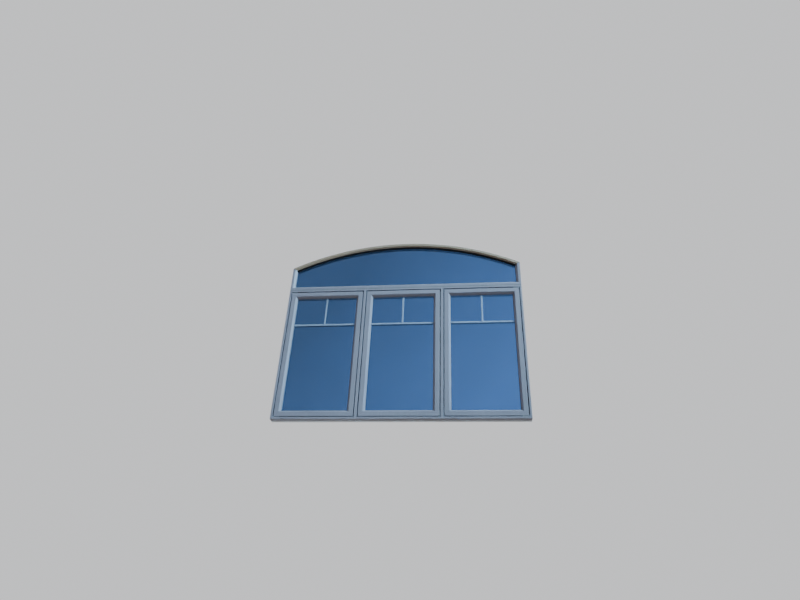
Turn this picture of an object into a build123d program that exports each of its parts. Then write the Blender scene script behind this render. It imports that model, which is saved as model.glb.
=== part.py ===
from build123d import *
import os
from math import asin, cos, degrees, radians, sin, sqrt

os.makedirs("parts", exist_ok=True)

# An arched window in coloured vinyl: three casement lights side by side, with a
# fixed segmental light above them. The two outer lights swing outwards.
# X runs across the window, Y from outdoors (-) to the room (+), Z up from the
# underside of the sill. Every size is in millimetres.

# Whole window
frame_width = 2490
frame_depth = 90
casement_height = 1474
coupling_height = 8
springing_height = 1770
crown_height = 2065

# Casement frame
frame_face = 20
mullion_face = 28
sash_gap = 9
stop_overlap = 15
stop_depth = 21
wall = 2.5
nose_radius = 1.5

# Casement sashes
sash_setback = 4
sash_depth = 62
sash_face = 45
sash_bevel = 20
sash_glass_setback = 25

# Fixed light above
transom_face = 25
transom_bevel = 22
transom_glass_setback = 24
arch_overrun = 2

# Sealed glass units and what holds them
unit_thickness = 22
sash_pane = 3
transom_pane = 4
glass_bite = 13
pocket_clearance = 4
lip_thickness = 1.5
gasket_thickness = 1
gasket_width = 15
gasket_lip = 1.5
arch_seal_lip = 11
arch_seal_climb = 9
bead_depth = 14
bead_slope = 8
bead_nib = 2
bead_mitre_gap = 0.4
spacer_setback = 2
spacer_width = 10
grille_width = 18
grille_thickness = 8
grille_chamfer = 2
grille_drop = 325

# Bulb seal pressed into a kerf in the stop
kerf_width = 3.2
kerf_depth = 3.8
seal_root_width = 3
seal_root_depth = 3.5
seal_bulb_width = 6
seal_clearance = 0.3

# Coupling between the two frames
coupling_setback = 1
coupling_wall = 2

# Screws
screw_radius = 1.5
screw_clearance = 0.1
screw_head_radius = 3
screw_head_height = 1.4
screw_length = 14
mullion_screw_radius = 2
mullion_screw_length = 60
mullion_head_radius = 4.5
mullion_head_height = 3
mullion_access_radius = 5.5
port_wall = 9
install_hole_radius = 2.75
install_hole_low = 300
install_hole_high = 1174
install_hole_y = 6

# Drainage of the sill
weep_length = 30
weep_height = 4
weep_inset = 90

# Packers that hold the fixed middle sash
packer_length = 40
packer_depth = 30
packer_offset = 250

# Pivot hinges: the pin stands in the gap beside the sash, at its front face
hinge_offset = 4
hinge_pin_radius = 2.5
hinge_pin_clearance = 0.05
hinge_pin_reach = 1
knuckle_radius = 4
leaf_thickness = 2
leaf_length = 62
leaf_width = 24
leaf_screw_near = 20
leaf_screw_far = 50

# Crank operator
track_offset = 24
track_start = 80
track_length = 362
track_width = 14
track_height = 4
track_wall = 1.5
track_web = 1
track_tab = 14
arm_length = 210
arm_pivot_along = 223
arm_pivot_behind = 74
arm_thickness = 3
arm_clearance = 1
arm_hub_radius = 10
arm_tip_radius = 6
arm_width = 13
roller_radius = 4
roller_clearance = 0.3
stud_radius = 4
stud_head_radius = 6
stud_head_height = 0.8
running_clearance = 0.05
housing_length = 126
housing_centre_along = 25
housing_height = 30
housing_nose = 4
housing_nose_slope = 6
housing_overhang = 13
housing_lift = 4
housing_shoulder = 1
housing_clearance = 0.3
housing_edge_radius = 2
housing_pick_margin = 1
housing_tab_length = 12
housing_tab_thickness = 3
arm_slot_height = 4.6
arm_slot_depth = 22
arm_slot_start = 23
arm_slot_length = 100

# Crank handle on its tilted spindle
crank_tilt = 40
crank_boss_radius = 11
crank_boss_length = 18
crank_gap = 0.5
crank_hub_radius = 9
crank_hub_length = 13
crank_shaft_radius = 4
crank_shaft_length = 15
crank_reach = 62
crank_blade_lift = 5
crank_blade_thickness = 5
crank_neck_radius = 6
crank_knob_radius = 8
crank_knob_waist = 5
crank_knob_length = 22
crank_knob_swell = 14.5

# Multipoint lock: lever, tie bar, rollers and keepers
lock_height = 520
lock_case_width = 26
lock_case_length = 150
lock_case_depth = 14
lock_case_floor = 2
lock_corner_radius = 6
lock_slot_width = 9
lock_nose_width = 7
lock_nose_height = 40
lock_nose_clearance = 0.3
lever_thickness = 8
lever_hub_radius = 7
lever_hub_inset = 5
lever_pin_radius = 2.5
lever_reach = 85
lever_tip_radius = 4.5
lever_lean = 10
lock_screw_offset = 62
tie_groove_depth = 2.5
tie_groove_width = 22
tie_groove_front = 33
tie_bar_clearance = 0.3
tie_bar_low = 200
tie_bar_high = 1250
tie_bar_travel = 30
tie_lug_reach = 5
tie_lug_height = 12
tie_roller_radius = 4
tie_roller_reach = 6.2
tie_rivet_radius = 1.5
tie_roller_front = 41
keeper_heights = (330, 1120)
keeper_length = 32
keeper_plate = 1.5
keeper_plate_width = 15
keeper_rib = 3
keeper_rib_reach = 6
keeper_clearance = 0.4
keeper_roller_margin = 1

# Places worked out from the sizes above
half_width = frame_width / 2
front = -frame_depth / 2
back = frame_depth / 2
stop_front = back - stop_depth
stop_height = frame_face + sash_gap + stop_overlap
head_floor = casement_height - frame_face
sash_front = front + sash_setback
sash_back = sash_front + sash_depth
sash_width = (frame_width - 2 * frame_face - 2 * mullion_face - 6 * sash_gap) / 3
sash_bottom = frame_face + sash_gap
sash_top = head_floor - sash_gap
sash_pitch = sash_width + 2 * sash_gap + mullion_face
mullion_x = sash_pitch / 2
sash_lip = sash_face + sash_bevel
glass_edge = sash_lip - glass_bite
sash_pocket = glass_edge - pocket_clearance
sash_seat = sash_front + sash_glass_setback
sash_unit_front = sash_seat + gasket_thickness
sash_unit_back = sash_unit_front + unit_thickness
transom_bottom = casement_height + coupling_height
transom_lip = transom_face + transom_bevel
transom_glass_edge = transom_lip - glass_bite
transom_pocket = transom_glass_edge - pocket_clearance
transom_seat = front + transom_glass_setback
transom_unit_front = transom_seat + gasket_thickness
transom_unit_back = transom_unit_front + unit_thickness
arch_rise = crown_height - springing_height
arch_radius = (half_width**2 + arch_rise**2) / (2 * arch_rise)
arch_centre = crown_height - arch_radius
arch_span = degrees(asin(half_width / arch_radius)) + arch_overrun
kerf_line = frame_face + sash_gap + stop_overlap / 2
port_y = front + (stop_front - front) / 2
port_radius = mullion_screw_radius + screw_clearance
pilot_radius = screw_radius + screw_clearance

UP, DOWN, RIGHT, LEFT = Vector(0, 0, 1), Vector(0, 0, -1), Vector(1, 0, 0), Vector(-1, 0, 0)
INWARD = Vector(0, 1, 0)


def arch_height(inset, x):
    """Height of the arch, moved in by inset, at a distance x from the middle."""
    return arch_centre + sqrt((arch_radius - inset) ** 2 - x**2)


def section_plane(x, z, inward):
    """Plane of a lineal's section: local x runs into the opening, local y to the room."""
    return Plane(origin=(x, 0, z), x_dir=inward, z_dir=inward.cross(INWARD))


def facade_plane(y):
    """Plane seen from outdoors: local x is X, local y is Z; negative amounts go inwards."""
    return Plane(origin=(0, y, 0), x_dir=RIGHT, z_dir=(0, -1, 0))


def chamber(x0, x1, y0, y1):
    """Hollow in the section that is being drawn."""
    with Locations(((x0 + x1) / 2, (y0 + y1) / 2)):
        Rectangle(x1 - x0, y1 - y0, mode=Mode.SUBTRACT)


def block(x0, x1, y0, y1, z0, z1, mode=Mode.ADD):
    """Box between two corners, in the part that is being made."""
    with Locations(((x0 + x1) / 2, (y0 + y1) / 2, (z0 + z1) / 2)):
        Box(x1 - x0, y1 - y0, z1 - z0, mode=mode)


def prism(points, y0, y1, mode=Mode.ADD):
    """Polygon in X and Z, from y0 to y1, in the part that is being made."""
    with BuildSketch(facade_plane(y0)) as outline:
        Polygon(*points)
    extrude(outline.sketch, amount=y0 - y1, mode=mode)


def frame_section(plane):
    """Casement frame: a base with two chambers and a stop with its seal kerf."""
    with BuildSketch(plane) as section:
        Polygon(
            (0, front), (frame_face, front), (frame_face, stop_front),
            (stop_height, stop_front), (stop_height, back), (0, back),
        )
        fillet(section.vertices().group_by(Axis.Y)[0], nose_radius)
        web_y = port_y
        chamber(wall, frame_face - wall, front + wall, web_y - wall / 2)
        chamber(wall, frame_face - wall, web_y + wall / 2, stop_front - wall / 2)
        chamber(wall, frame_face - wall, stop_front + wall / 2, back - wall)
        chamber(frame_face, stop_height - wall, stop_front + kerf_depth + wall, back - wall)
        chamber(kerf_line - kerf_width / 2, kerf_line + kerf_width / 2, stop_front, stop_front + kerf_depth)
    return section.sketch


def sash_section(plane):
    """Sash: bevelled glazing leg outdoors, open glazing pocket on the room side."""
    with BuildSketch(plane) as section:
        Polygon(
            (0, sash_front), (sash_face, sash_front), (sash_lip, sash_seat - lip_thickness),
            (sash_lip, sash_seat), (sash_pocket, sash_seat), (sash_pocket, sash_back), (0, sash_back),
        )
        fillet(section.vertices().group_by(Axis.Y)[0], nose_radius)
        middle = sash_seat + wall
        chamber(wall, sash_face - wall, sash_front + wall, middle - wall / 2)
        chamber(wall, sash_pocket - wall, middle + wall / 2, sash_back - wall)
    return section.sketch


def sash_bead_section(plane):
    """Glazing bead that fills the sash pocket behind the glass."""
    return bead_section(plane, sash_pocket, sash_lip, sash_unit_back)


def transom_bead_section(plane):
    """Glazing bead of the fixed light."""
    return bead_section(plane, transom_pocket, transom_lip, transom_unit_back)


def bead_section(plane, foot, tip, glass):
    """Bead with its foot on the pocket floor, its tip on the glass and a sloped face."""
    with BuildSketch(plane) as section:
        Polygon(
            (foot, glass), (tip, glass), (tip, glass + bead_nib),
            (tip - bead_slope, glass + bead_depth), (foot, glass + bead_depth),
        )
    return section.sketch


def transom_section(plane):
    """Fixed-light frame, with the glazing bevel and pocket in the frame itself."""
    with BuildSketch(plane) as section:
        Polygon(
            (0, front), (transom_face, front), (transom_lip, transom_seat - lip_thickness),
            (transom_lip, transom_seat), (transom_pocket, transom_seat), (transom_pocket, back), (0, back),
        )
        fillet(section.vertices().group_by(Axis.Y)[0].sort_by(Axis.X)[-1], nose_radius)
        first_web = transom_seat + 2 * wall
        second_web = transom_unit_back + bead_depth
        chamber(wall, transom_face - wall, front + wall, first_web - wall / 2)
        chamber(wall, transom_pocket - wall, first_web + wall / 2, second_web - wall / 2)
        chamber(wall, transom_pocket - wall, second_web + wall / 2, back - wall)
    return section.sketch


def mitred_bars(section_of, x0, z0, x1, z1, width, gap=0):
    """Four straight lineals round a rectangle, mitred at its corners: bottom, right, top, left."""
    outer = [(x0, z0), (x1, z0), (x1, z1), (x0, z1)]
    inner = [
        (x0 + width, z0 + width), (x1 - width, z0 + width),
        (x1 - width, z1 - width), (x0 + width, z1 - width),
    ]
    bars = []
    for side, inward in enumerate((UP, LEFT, DOWN, RIGHT)):
        (ax, az), (bx, bz) = outer[side], outer[(side + 1) % 4]
        (cx, cz), (dx, dz) = inner[(side + 1) % 4], inner[side]
        play = gap if side % 2 == 0 else 0
        with BuildPart() as bar:
            plane = section_plane((ax + bx) / 2, (az + bz) / 2, inward)
            extrude(section_of(plane), amount=max(x1 - x0, z1 - z0) / 2, both=True)
            reach = play if bx > ax else -play
            corners = [(ax + reach, az), (bx - reach, bz), (cx - reach, cz), (dx + reach, dz)]
            prism(corners, -frame_depth, frame_depth, Mode.INTERSECT)
        bars.append(bar.part)
    return bars


def arch_sweep(section_of):
    """Lineal bent on the arch, longer than it by the overrun, in the part that is being made."""
    start = radians(-arch_span)
    inward = Vector(-sin(start), 0, -cos(start))
    plane = section_plane(arch_radius * sin(start), arch_centre + arch_radius * cos(start), inward)
    revolve(section_of(plane), axis=Axis((0, 0, arch_centre), (0, 1, 0)), revolution_arc=2 * arch_span)


def arched_bars(section_of, foot, tip, gap=0):
    """Lineals of the fixed light between two insets: bottom, right side, arch and left side."""
    out_x, in_x = half_width - foot, half_width - tip
    out_z, in_z = arch_height(foot, out_x), arch_height(tip, in_x)
    low_out, low_in = transom_bottom + foot, transom_bottom + tip
    fall = (out_z - in_z) / (tip - foot)
    bars = []
    with BuildPart() as bottom:
        extrude(section_of(section_plane(0, transom_bottom, UP)), amount=half_width, both=True)
        prism(
            [(gap - out_x, low_out), (out_x - gap, low_out), (in_x - gap, low_in), (gap - in_x, low_in)],
            -frame_depth, frame_depth, Mode.INTERSECT,
        )
    bars.append(bottom.part)
    for side, inward in ((1, LEFT), (-1, RIGHT)):
        with BuildPart() as jamb:
            plane = section_plane(side * half_width, (low_out + out_z) / 2, inward)
            extrude(section_of(plane), amount=out_z - low_out, both=True)
            prism(
                [(side * out_x, low_out), (side * out_x, out_z), (side * in_x, in_z), (side * in_x, low_in)],
                -frame_depth, frame_depth, Mode.INTERSECT,
            )
        bars.append(jamb.part)
    with BuildPart() as arch:
        arch_sweep(section_of)
        apex = out_z - fall * out_x
        wing = half_width + transom_lip
        prism(
            [(0, apex + fall * gap), (wing, apex + fall * (wing + gap)), (wing, crown_height + transom_lip),
             (-wing, crown_height + transom_lip), (-wing, apex + fall * (wing + gap))],
            -frame_depth, frame_depth, Mode.INTERSECT,
        )
    return [bottom.part, bars[1], arch.part, bars[2]]


def arched_outline(plane, inset, arch_inset):
    """Outline of the fixed light, moved in by inset and at the arch by arch_inset."""
    side = half_width - inset
    low = transom_bottom + inset
    spring = arch_height(arch_inset, side)
    with BuildSketch(plane) as outline:
        with BuildLine():
            Polyline((-side, spring), (-side, low), (side, low), (side, spring))
            ThreePointArc((side, spring), (0, crown_height - arch_inset), (-side, spring))
        make_face()
    return outline.sketch


def rectangle_outline(plane, x0, z0, x1, z1):
    """Rectangle between two corners of the facade."""
    with BuildSketch(plane) as outline:
        with Locations(((x0 + x1) / 2, (z0 + z1) / 2)):
            Rectangle(x1 - x0, z1 - z0)
    return outline.sketch


def slab(outline, thickness, mode=Mode.ADD):
    """Facade outline thickened towards the room, in the part that is being made."""
    extrude(outline, amount=-thickness, mode=mode)


def drill(x, y, z, direction, radius, length):
    """Round hole from a point, along a direction, in the part that is being made."""
    with BuildSketch(Plane(origin=(x, y, z), z_dir=direction)) as hole:
        Circle(radius)
    extrude(hole.sketch, amount=length, mode=Mode.SUBTRACT)


def rod(origin, direction, radius, length):
    """Round rod from a point, along a direction, in the part that is being made."""
    with BuildSketch(Plane(origin=origin, z_dir=direction)) as circle:
        Circle(radius)
    extrude(circle.sketch, amount=length)


def screw_sink(x, y, z, direction):
    """Countersunk hole whose mouth is at the point, going along the direction."""
    drill(x, y, z, direction, pilot_radius, screw_length)
    sink = screw_head_radius + screw_clearance
    mouth = Plane(origin=(x, y, z), z_dir=direction)
    with BuildSketch(mouth, mouth.offset(screw_head_height)) as rims:
        Circle(sink)
    with BuildSketch(mouth.offset(screw_head_height)) as throat:
        Circle(pilot_radius)
    rim = rims.sketch.faces().sort_by_distance((x, y, z))[0]
    loft([rim, throat.sketch.face()], mode=Mode.SUBTRACT)


def flat_screw(x, y, z, direction, radius, head_radius, head_height, length):
    """Countersunk screw with its head's top at the point, in the part that is being made."""
    profile = [(0, 0), (head_radius, 0), (radius, head_height), (radius, length), (0, length)]
    axis = Vector(*direction)
    side = Vector(0, 1, 0) if abs(axis.Y) < sin(radians(45)) else RIGHT
    with BuildSketch(Plane(origin=(x, y, z), x_dir=side, z_dir=side.cross(axis))) as section:
        Polygon(*profile)
    revolve(section.sketch, axis=Axis((x, y, z), axis))


def hardware_screw(x, y, z, direction):
    """The small countersunk screw that fixes the hardware."""
    flat_screw(x, y, z, direction, screw_radius, screw_head_radius, screw_head_height, screw_length)


def save(builder, name):
    """Labels a finished piece and writes it."""
    builder.part.label = name
    export_step(builder.part, f"parts/{name}.step")


# Hinge, operator and lock places on the left light
left_x = -sash_pitch
sash_left = left_x - sash_width / 2
sash_right = left_x + sash_width / 2
hinge_x = sash_left - hinge_offset
hinge_y = sash_front
leaf_screw_y = hinge_y + leaf_width / 2
track_y = hinge_y + track_offset
pivot_x = hinge_x + arm_pivot_along
pivot_y = hinge_y + arm_pivot_behind
arm_angle = degrees(asin((track_y - pivot_y) / arm_length))
arm_bottom = frame_face + arm_clearance
arm_top = arm_bottom + arm_thickness
housing_x = pivot_x + housing_centre_along
housing_left = housing_x - housing_length / 2
housing_right = housing_x + housing_length / 2
cutout_left = housing_left - housing_tab_length - housing_clearance
cutout_right = housing_right + housing_tab_length + housing_clearance
web_face_x = -mullion_x - mullion_face / 2
tie_face_x = web_face_x - tie_bar_clearance
tie_front = front + tie_groove_front
lock_x = (sash_right + web_face_x) / 2
lock_screw_heights = (lock_height - lock_screw_offset, lock_height + lock_screw_offset)
tab_screw_xs = (housing_left - housing_tab_length / 2, housing_right + housing_tab_length / 2)
tab_screw_y = (stop_front + back) / 2
leaf_screw_xs = (hinge_x + leaf_screw_near, hinge_x + leaf_screw_far)
track_left = hinge_x + track_start
track_right = track_left + track_length
track_screw_xs = (track_left - track_tab / 2, track_right + track_tab / 2)
roller_y = front + tie_roller_front
rib_front = roller_y + tie_roller_radius + keeper_clearance
keeper_screw_y = rib_front + (keeper_rib + keeper_plate_width) / 2

# Casement frame lineals, mitred for welding
sill_bar, right_bar, head_bar, left_bar = mitred_bars(
    frame_section, -half_width, 0, half_width, casement_height, stop_height
)

with BuildPart() as sill:
    add(sill_bar)
    for side in (-1, 1):
        edges = sorted((side * cutout_left, side * cutout_right))
        block(*edges, stop_front, back, frame_face, stop_height, Mode.SUBTRACT)
        drill(side * mullion_x, port_y, 0, UP, mullion_access_radius, frame_face - wall)
        drill(side * mullion_x, port_y, 0, UP, port_radius, frame_face)
        for x in tab_screw_xs:
            drill(side * x, tab_screw_y, frame_face, DOWN, pilot_radius, screw_length)
        for x in leaf_screw_xs:
            drill(side * x, leaf_screw_y, frame_face, DOWN, pilot_radius, screw_length)
    for x in (-sash_pitch, 0, sash_pitch):
        for side in (-1, 1):
            weep = x + side * (sash_width / 2 - weep_inset)
            weep_left, weep_right = weep - weep_length / 2, weep + weep_length / 2
            drain_y = front + 2 * wall
            block(weep_left, weep_right, front, front + wall, wall, wall + weep_height, Mode.SUBTRACT)
            block(weep_left, weep_right, drain_y, drain_y + weep_height, frame_face - wall, frame_face,
                  Mode.SUBTRACT)
save(sill, "sill")

with BuildPart() as head:
    add(head_bar)
    for side in (-1, 1):
        drill(side * mullion_x, port_y, casement_height, DOWN, mullion_access_radius, frame_face - wall)
        drill(side * mullion_x, port_y, casement_height, DOWN, port_radius, frame_face)
        for x in leaf_screw_xs:
            drill(side * x, leaf_screw_y, head_floor, UP, pilot_radius, screw_length)
save(head, "head")

for name, bar, side in (("left_jamb", left_bar, -1), ("right_jamb", right_bar, 1)):
    with BuildPart() as jamb:
        add(bar)
        for z in (install_hole_low, install_hole_high):
            drill(side * half_width, install_hole_y, z, (-side, 0, 0), install_hole_radius, frame_face)
    save(jamb, name)

# Mullions: a web between two lights, coped at both ends over the stops
for name, x in (("left_mullion", -mullion_x), ("right_mullion", mullion_x)):
    web = mullion_face / 2
    leg = web + sash_gap + stop_overlap
    kerf = web + sash_gap + stop_overlap / 2
    groove_back = tie_front + tie_groove_width
    with BuildPart() as mullion:
        with BuildSketch(Plane(origin=(x, 0, frame_face))) as web_section:
            with Locations((0, (front + stop_front) / 2)):
                Rectangle(mullion_face, stop_front - front)
            fillet(web_section.vertices().group_by(Axis.Y)[0], nose_radius)
            for side in (-1, 1):
                edges = sorted((side * web, side * (web - tie_groove_depth)))
                chamber(*edges, tie_front, groove_back)
            hollow = web - tie_groove_depth - wall
            chamber(-hollow, hollow, front + wall, port_y - port_wall / 2)
            chamber(-hollow, hollow, port_y + port_wall / 2, stop_front - wall)
            with Locations((0, port_y)):
                Circle(port_radius, mode=Mode.SUBTRACT)
        extrude(web_section.sketch, amount=head_floor - frame_face)
        with BuildSketch(Plane(origin=(x, 0, stop_height))) as leg_section:
            with Locations((0, (stop_front + back) / 2)):
                Rectangle(2 * leg, stop_depth)
            chamber(wall - leg, leg - wall, stop_front + kerf_depth + wall, back - wall)
            for side in (-1, 1):
                chamber(side * kerf - kerf_width / 2, side * kerf + kerf_width / 2,
                        stop_front, stop_front + kerf_depth)
        extrude(leg_section.sketch, amount=casement_height - 2 * stop_height)
        slot_x = -lock_x if x > 0 else lock_x
        slot_half = lock_nose_width / 2 + lock_nose_clearance
        block(slot_x - slot_half, slot_x + slot_half, stop_front, back,
              lock_height - lock_nose_height / 2 - lock_nose_clearance,
              lock_height + lock_nose_height / 2 + lock_nose_clearance, Mode.SUBTRACT)
        for z in lock_screw_heights:
            drill(slot_x, back, z, (0, -1, 0), pilot_radius, screw_length)
    save(mullion, name)

# Hollow strip that couples the fixed light to the casement frame
with BuildPart() as coupling_strip:
    with BuildSketch(section_plane(0, casement_height, UP)) as strip_section:
        with Locations((coupling_height / 2, 0)):
            Rectangle(coupling_height, frame_depth - 2 * coupling_setback)
        chamber(coupling_wall, coupling_height - coupling_wall,
                front + coupling_setback + coupling_wall, back - coupling_setback - coupling_wall)
    extrude(strip_section.sketch, amount=half_width, both=True)
save(coupling_strip, "coupling_strip")

# Fixed light: frame, glass, seals and beads
for name, bar in zip(
    ("transom_sill", "right_transom_jamb", "arched_head", "left_transom_jamb"),
    arched_bars(transom_section, 0, transom_lip),
):
    with BuildPart() as lineal:
        add(bar)
    save(lineal, name)

for name, y in (
    ("transom_outer_pane", transom_unit_front),
    ("transom_inner_pane", transom_unit_back - transom_pane),
):
    with BuildPart() as pane:
        slab(arched_outline(facade_plane(y), transom_glass_edge, transom_glass_edge), transom_pane)
    save(pane, name)

with BuildPart() as transom_spacer:
    y = transom_unit_front + transom_pane
    gap = unit_thickness - 2 * transom_pane
    rim = transom_glass_edge + spacer_setback
    slab(arched_outline(facade_plane(y), rim, rim), gap)
    slab(arched_outline(facade_plane(y), rim + spacer_width, rim + spacer_width), gap, Mode.SUBTRACT)
save(transom_spacer, "transom_spacer")

with BuildPart() as transom_beads:
    for bar in arched_bars(transom_bead_section, transom_pocket, transom_lip, bead_mitre_gap):
        add(bar)
save(transom_beads, "transom_beads")


def sash_rectangle(x, inset):
    """Corners of a sash's outline, moved in by inset."""
    return (x - sash_width / 2 + inset, sash_bottom + inset, x + sash_width / 2 - inset, sash_top - inset)


def sash_gasket(x):
    """Adds the dry gasket between the glazing leg and the outer pane of one sash."""
    plane = facade_plane(sash_seat)
    slab(rectangle_outline(plane, *sash_rectangle(x, sash_lip + gasket_lip - gasket_width)), gasket_thickness)
    slab(rectangle_outline(plane, *sash_rectangle(x, sash_lip + gasket_lip)), gasket_thickness, Mode.SUBTRACT)


def arch_seal_section(plane):
    """Wedge of the seal under the arch: up its bevel and down over the glass."""
    bevel_back = transom_seat - lip_thickness
    climb_front = bevel_back - arch_seal_climb * (bevel_back - front) / transom_bevel
    with BuildSketch(plane) as section:
        Polygon(
            (transom_lip - arch_seal_climb, climb_front), (transom_lip, bevel_back),
            (transom_lip, transom_seat), (transom_lip + arch_seal_lip, transom_seat),
        )
    return section.sketch


# Thick wedge seal under the arch, cut to the bevels of the two jambs
with BuildPart() as arch_seal:
    arch_sweep(arch_seal_section)
    with BuildSketch() as opening:
        Polygon(
            (half_width - transom_face, front), (half_width - transom_lip, transom_seat - lip_thickness),
            (half_width - transom_lip, transom_seat), (transom_lip - half_width, transom_seat),
            (transom_lip - half_width, transom_seat - lip_thickness), (transom_face - half_width, front),
        )
    extrude(opening.sketch, amount=crown_height, mode=Mode.INTERSECT)

with BuildPart() as arch_gasket:
    plane = facade_plane(transom_seat)
    rim = transom_lip + gasket_lip - gasket_width
    extrude(arched_outline(plane, rim, rim), amount=-gasket_thickness)
    extrude(arched_outline(plane, transom_lip + gasket_lip, transom_lip + arch_seal_lip),
            amount=-gasket_thickness, mode=Mode.SUBTRACT)
    add(arch_seal.part)

with BuildPart() as fixed_gaskets:
    sash_gasket(0)
    add(arch_gasket.part)
save(fixed_gaskets, "fixed_gaskets")

# The three lights: welded sash, sealed unit, grille between the panes, beads
for light, x in (("left", left_x), ("center", 0), ("right", -left_x)):
    with BuildPart() as sash:
        for bar in mitred_bars(sash_section, *sash_rectangle(x, 0), sash_lip):
            add(bar)
        side = -1 if x < 0 else 1
        if x:
            for screw_x in leaf_screw_xs:
                drill(-side * screw_x, leaf_screw_y, sash_bottom, UP, pilot_radius, screw_length)
                drill(-side * screw_x, leaf_screw_y, sash_top, DOWN, pilot_radius, screw_length)
            for screw_x in track_screw_xs:
                drill(-side * screw_x, track_y, sash_bottom, UP, pilot_radius, screw_length)
            for z in keeper_heights:
                drill(-side * sash_right, keeper_screw_y, z, (side, 0, 0), pilot_radius, screw_length)
    save(sash, f"{light}_sash")

    for name, y in (("outer", sash_unit_front), ("inner", sash_unit_back - sash_pane)):
        with BuildPart() as pane:
            slab(rectangle_outline(facade_plane(y), *sash_rectangle(x, glass_edge)), sash_pane)
        save(pane, f"{light}_{name}_pane")

    cavity_front = sash_unit_front + sash_pane
    cavity = unit_thickness - 2 * sash_pane
    spacer_rim = glass_edge + spacer_setback
    with BuildPart() as spacer:
        slab(rectangle_outline(facade_plane(cavity_front), *sash_rectangle(x, spacer_rim)), cavity)
        slab(rectangle_outline(facade_plane(cavity_front), *sash_rectangle(x, spacer_rim + spacer_width)),
             cavity, Mode.SUBTRACT)
    save(spacer, f"{light}_spacer")

    x0, z0, x1, z1 = sash_rectangle(x, spacer_rim + spacer_width)
    bar_z = sash_top - sash_lip - grille_drop
    bar_front = cavity_front + (cavity - grille_thickness) / 2
    with BuildPart() as grille:
        half_bar, bar_back = grille_width / 2, bar_front + grille_thickness
        block(x0, x1, bar_front, bar_back, bar_z - half_bar, bar_z + half_bar)
        block(x - half_bar, x + half_bar, bar_front, bar_back, bar_z, z1)
        rails = grille.edges().filter_by(Axis.X) + grille.edges().filter_by(Axis.Z)
        chamfer([edge for edge in rails if edge.length > 2 * grille_width], grille_chamfer)
    save(grille, f"{light}_grille")

    with BuildPart() as beads:
        x0, z0, x1, z1 = sash_rectangle(x, 0)
        for bar in mitred_bars(sash_bead_section, x0, z0, x1, z1, sash_lip, bead_mitre_gap):
            add(bar)
    save(beads, f"{light}_beads")

for light, x in (("left", left_x), ("right", -left_x)):
    with BuildPart() as gasket:
        sash_gasket(x)
    save(gasket, f"{light}_gasket")

# Bulb seals round the three openings
with BuildPart() as weatherstrips:
    for x in (-sash_pitch, 0, sash_pitch):
        bulb = stop_front - sash_back - seal_clearance
        plane = facade_plane(sash_back + seal_clearance)
        line = stop_overlap / 2
        slab(rectangle_outline(plane, *sash_rectangle(x, line - seal_bulb_width / 2)), bulb)
        slab(rectangle_outline(plane, *sash_rectangle(x, line + seal_bulb_width / 2)), bulb, Mode.SUBTRACT)
        x0, z0, x1, z1 = sash_rectangle(x, line)
        half_root = seal_root_width / 2
        root_back = stop_front + seal_root_depth
        for z in (z0, z1):
            block(x0 - half_root, x1 + half_root, stop_front, root_back, z - half_root, z + half_root)
        for root_x in (x0, x1):
            block(root_x - half_root, root_x + half_root, stop_front, root_back,
                  stop_height, casement_height - stop_height)
save(weatherstrips, "weatherstrips")

# Packers round the fixed middle sash
with BuildPart() as center_packers:
    packer_front = (sash_front + sash_back - packer_depth) / 2
    for packer_x in (-packer_offset, packer_offset):
        for z0, z1 in ((frame_face, sash_bottom), (sash_top, head_floor)):
            block(packer_x - packer_length / 2, packer_x + packer_length / 2,
                  packer_front, packer_front + packer_depth, z0, z1)
save(center_packers, "center_packers")


def leaf(z0, z1, front_edge, hole):
    """Hinge leaf with its knuckle round the pin, in the part that is being made."""
    with BuildSketch(Plane.XY.offset(z0)) as outline:
        with Locations((hinge_x, hinge_y)):
            Circle(knuckle_radius)
        with Locations((hinge_x + leaf_length / 2, (front_edge + hinge_y + leaf_width) / 2)):
            Rectangle(leaf_length, hinge_y + leaf_width - front_edge)
        if hole:
            with Locations((hinge_x, hinge_y)):
                Circle(hinge_pin_radius + hinge_pin_clearance, mode=Mode.SUBTRACT)
    extrude(outline.sketch, amount=z1 - z0)


# Pivot hinges: the frame's leaves carry the pins, the sash's leaves turn on them
with BuildPart() as left_frame_leaves:
    leaf(frame_face, frame_face + leaf_thickness, hinge_y - knuckle_radius, False)
    leaf(head_floor - leaf_thickness, head_floor, hinge_y - knuckle_radius, False)
    pin_length = sash_gap - leaf_thickness + hinge_pin_reach
    rod((hinge_x, hinge_y, frame_face + leaf_thickness), UP, hinge_pin_radius, pin_length)
    rod((hinge_x, hinge_y, head_floor - leaf_thickness), DOWN, hinge_pin_radius, pin_length)
    for screw_x in leaf_screw_xs:
        screw_sink(screw_x, leaf_screw_y, frame_face + leaf_thickness, DOWN)
        screw_sink(screw_x, leaf_screw_y, head_floor - leaf_thickness, UP)

with BuildPart() as frame_hinge_leaves:
    add(left_frame_leaves.part)
    mirror(about=Plane.YZ)
save(frame_hinge_leaves, "frame_hinge_leaves")

with BuildPart() as sash_hinge_leaves:
    leaf(sash_bottom - leaf_thickness, sash_bottom, hinge_y, True)
    leaf(sash_top, sash_top + leaf_thickness, hinge_y, True)
    for screw_x in leaf_screw_xs:
        screw_sink(screw_x, leaf_screw_y, sash_bottom - leaf_thickness, UP)
        screw_sink(screw_x, leaf_screw_y, sash_top + leaf_thickness, DOWN)

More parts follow.
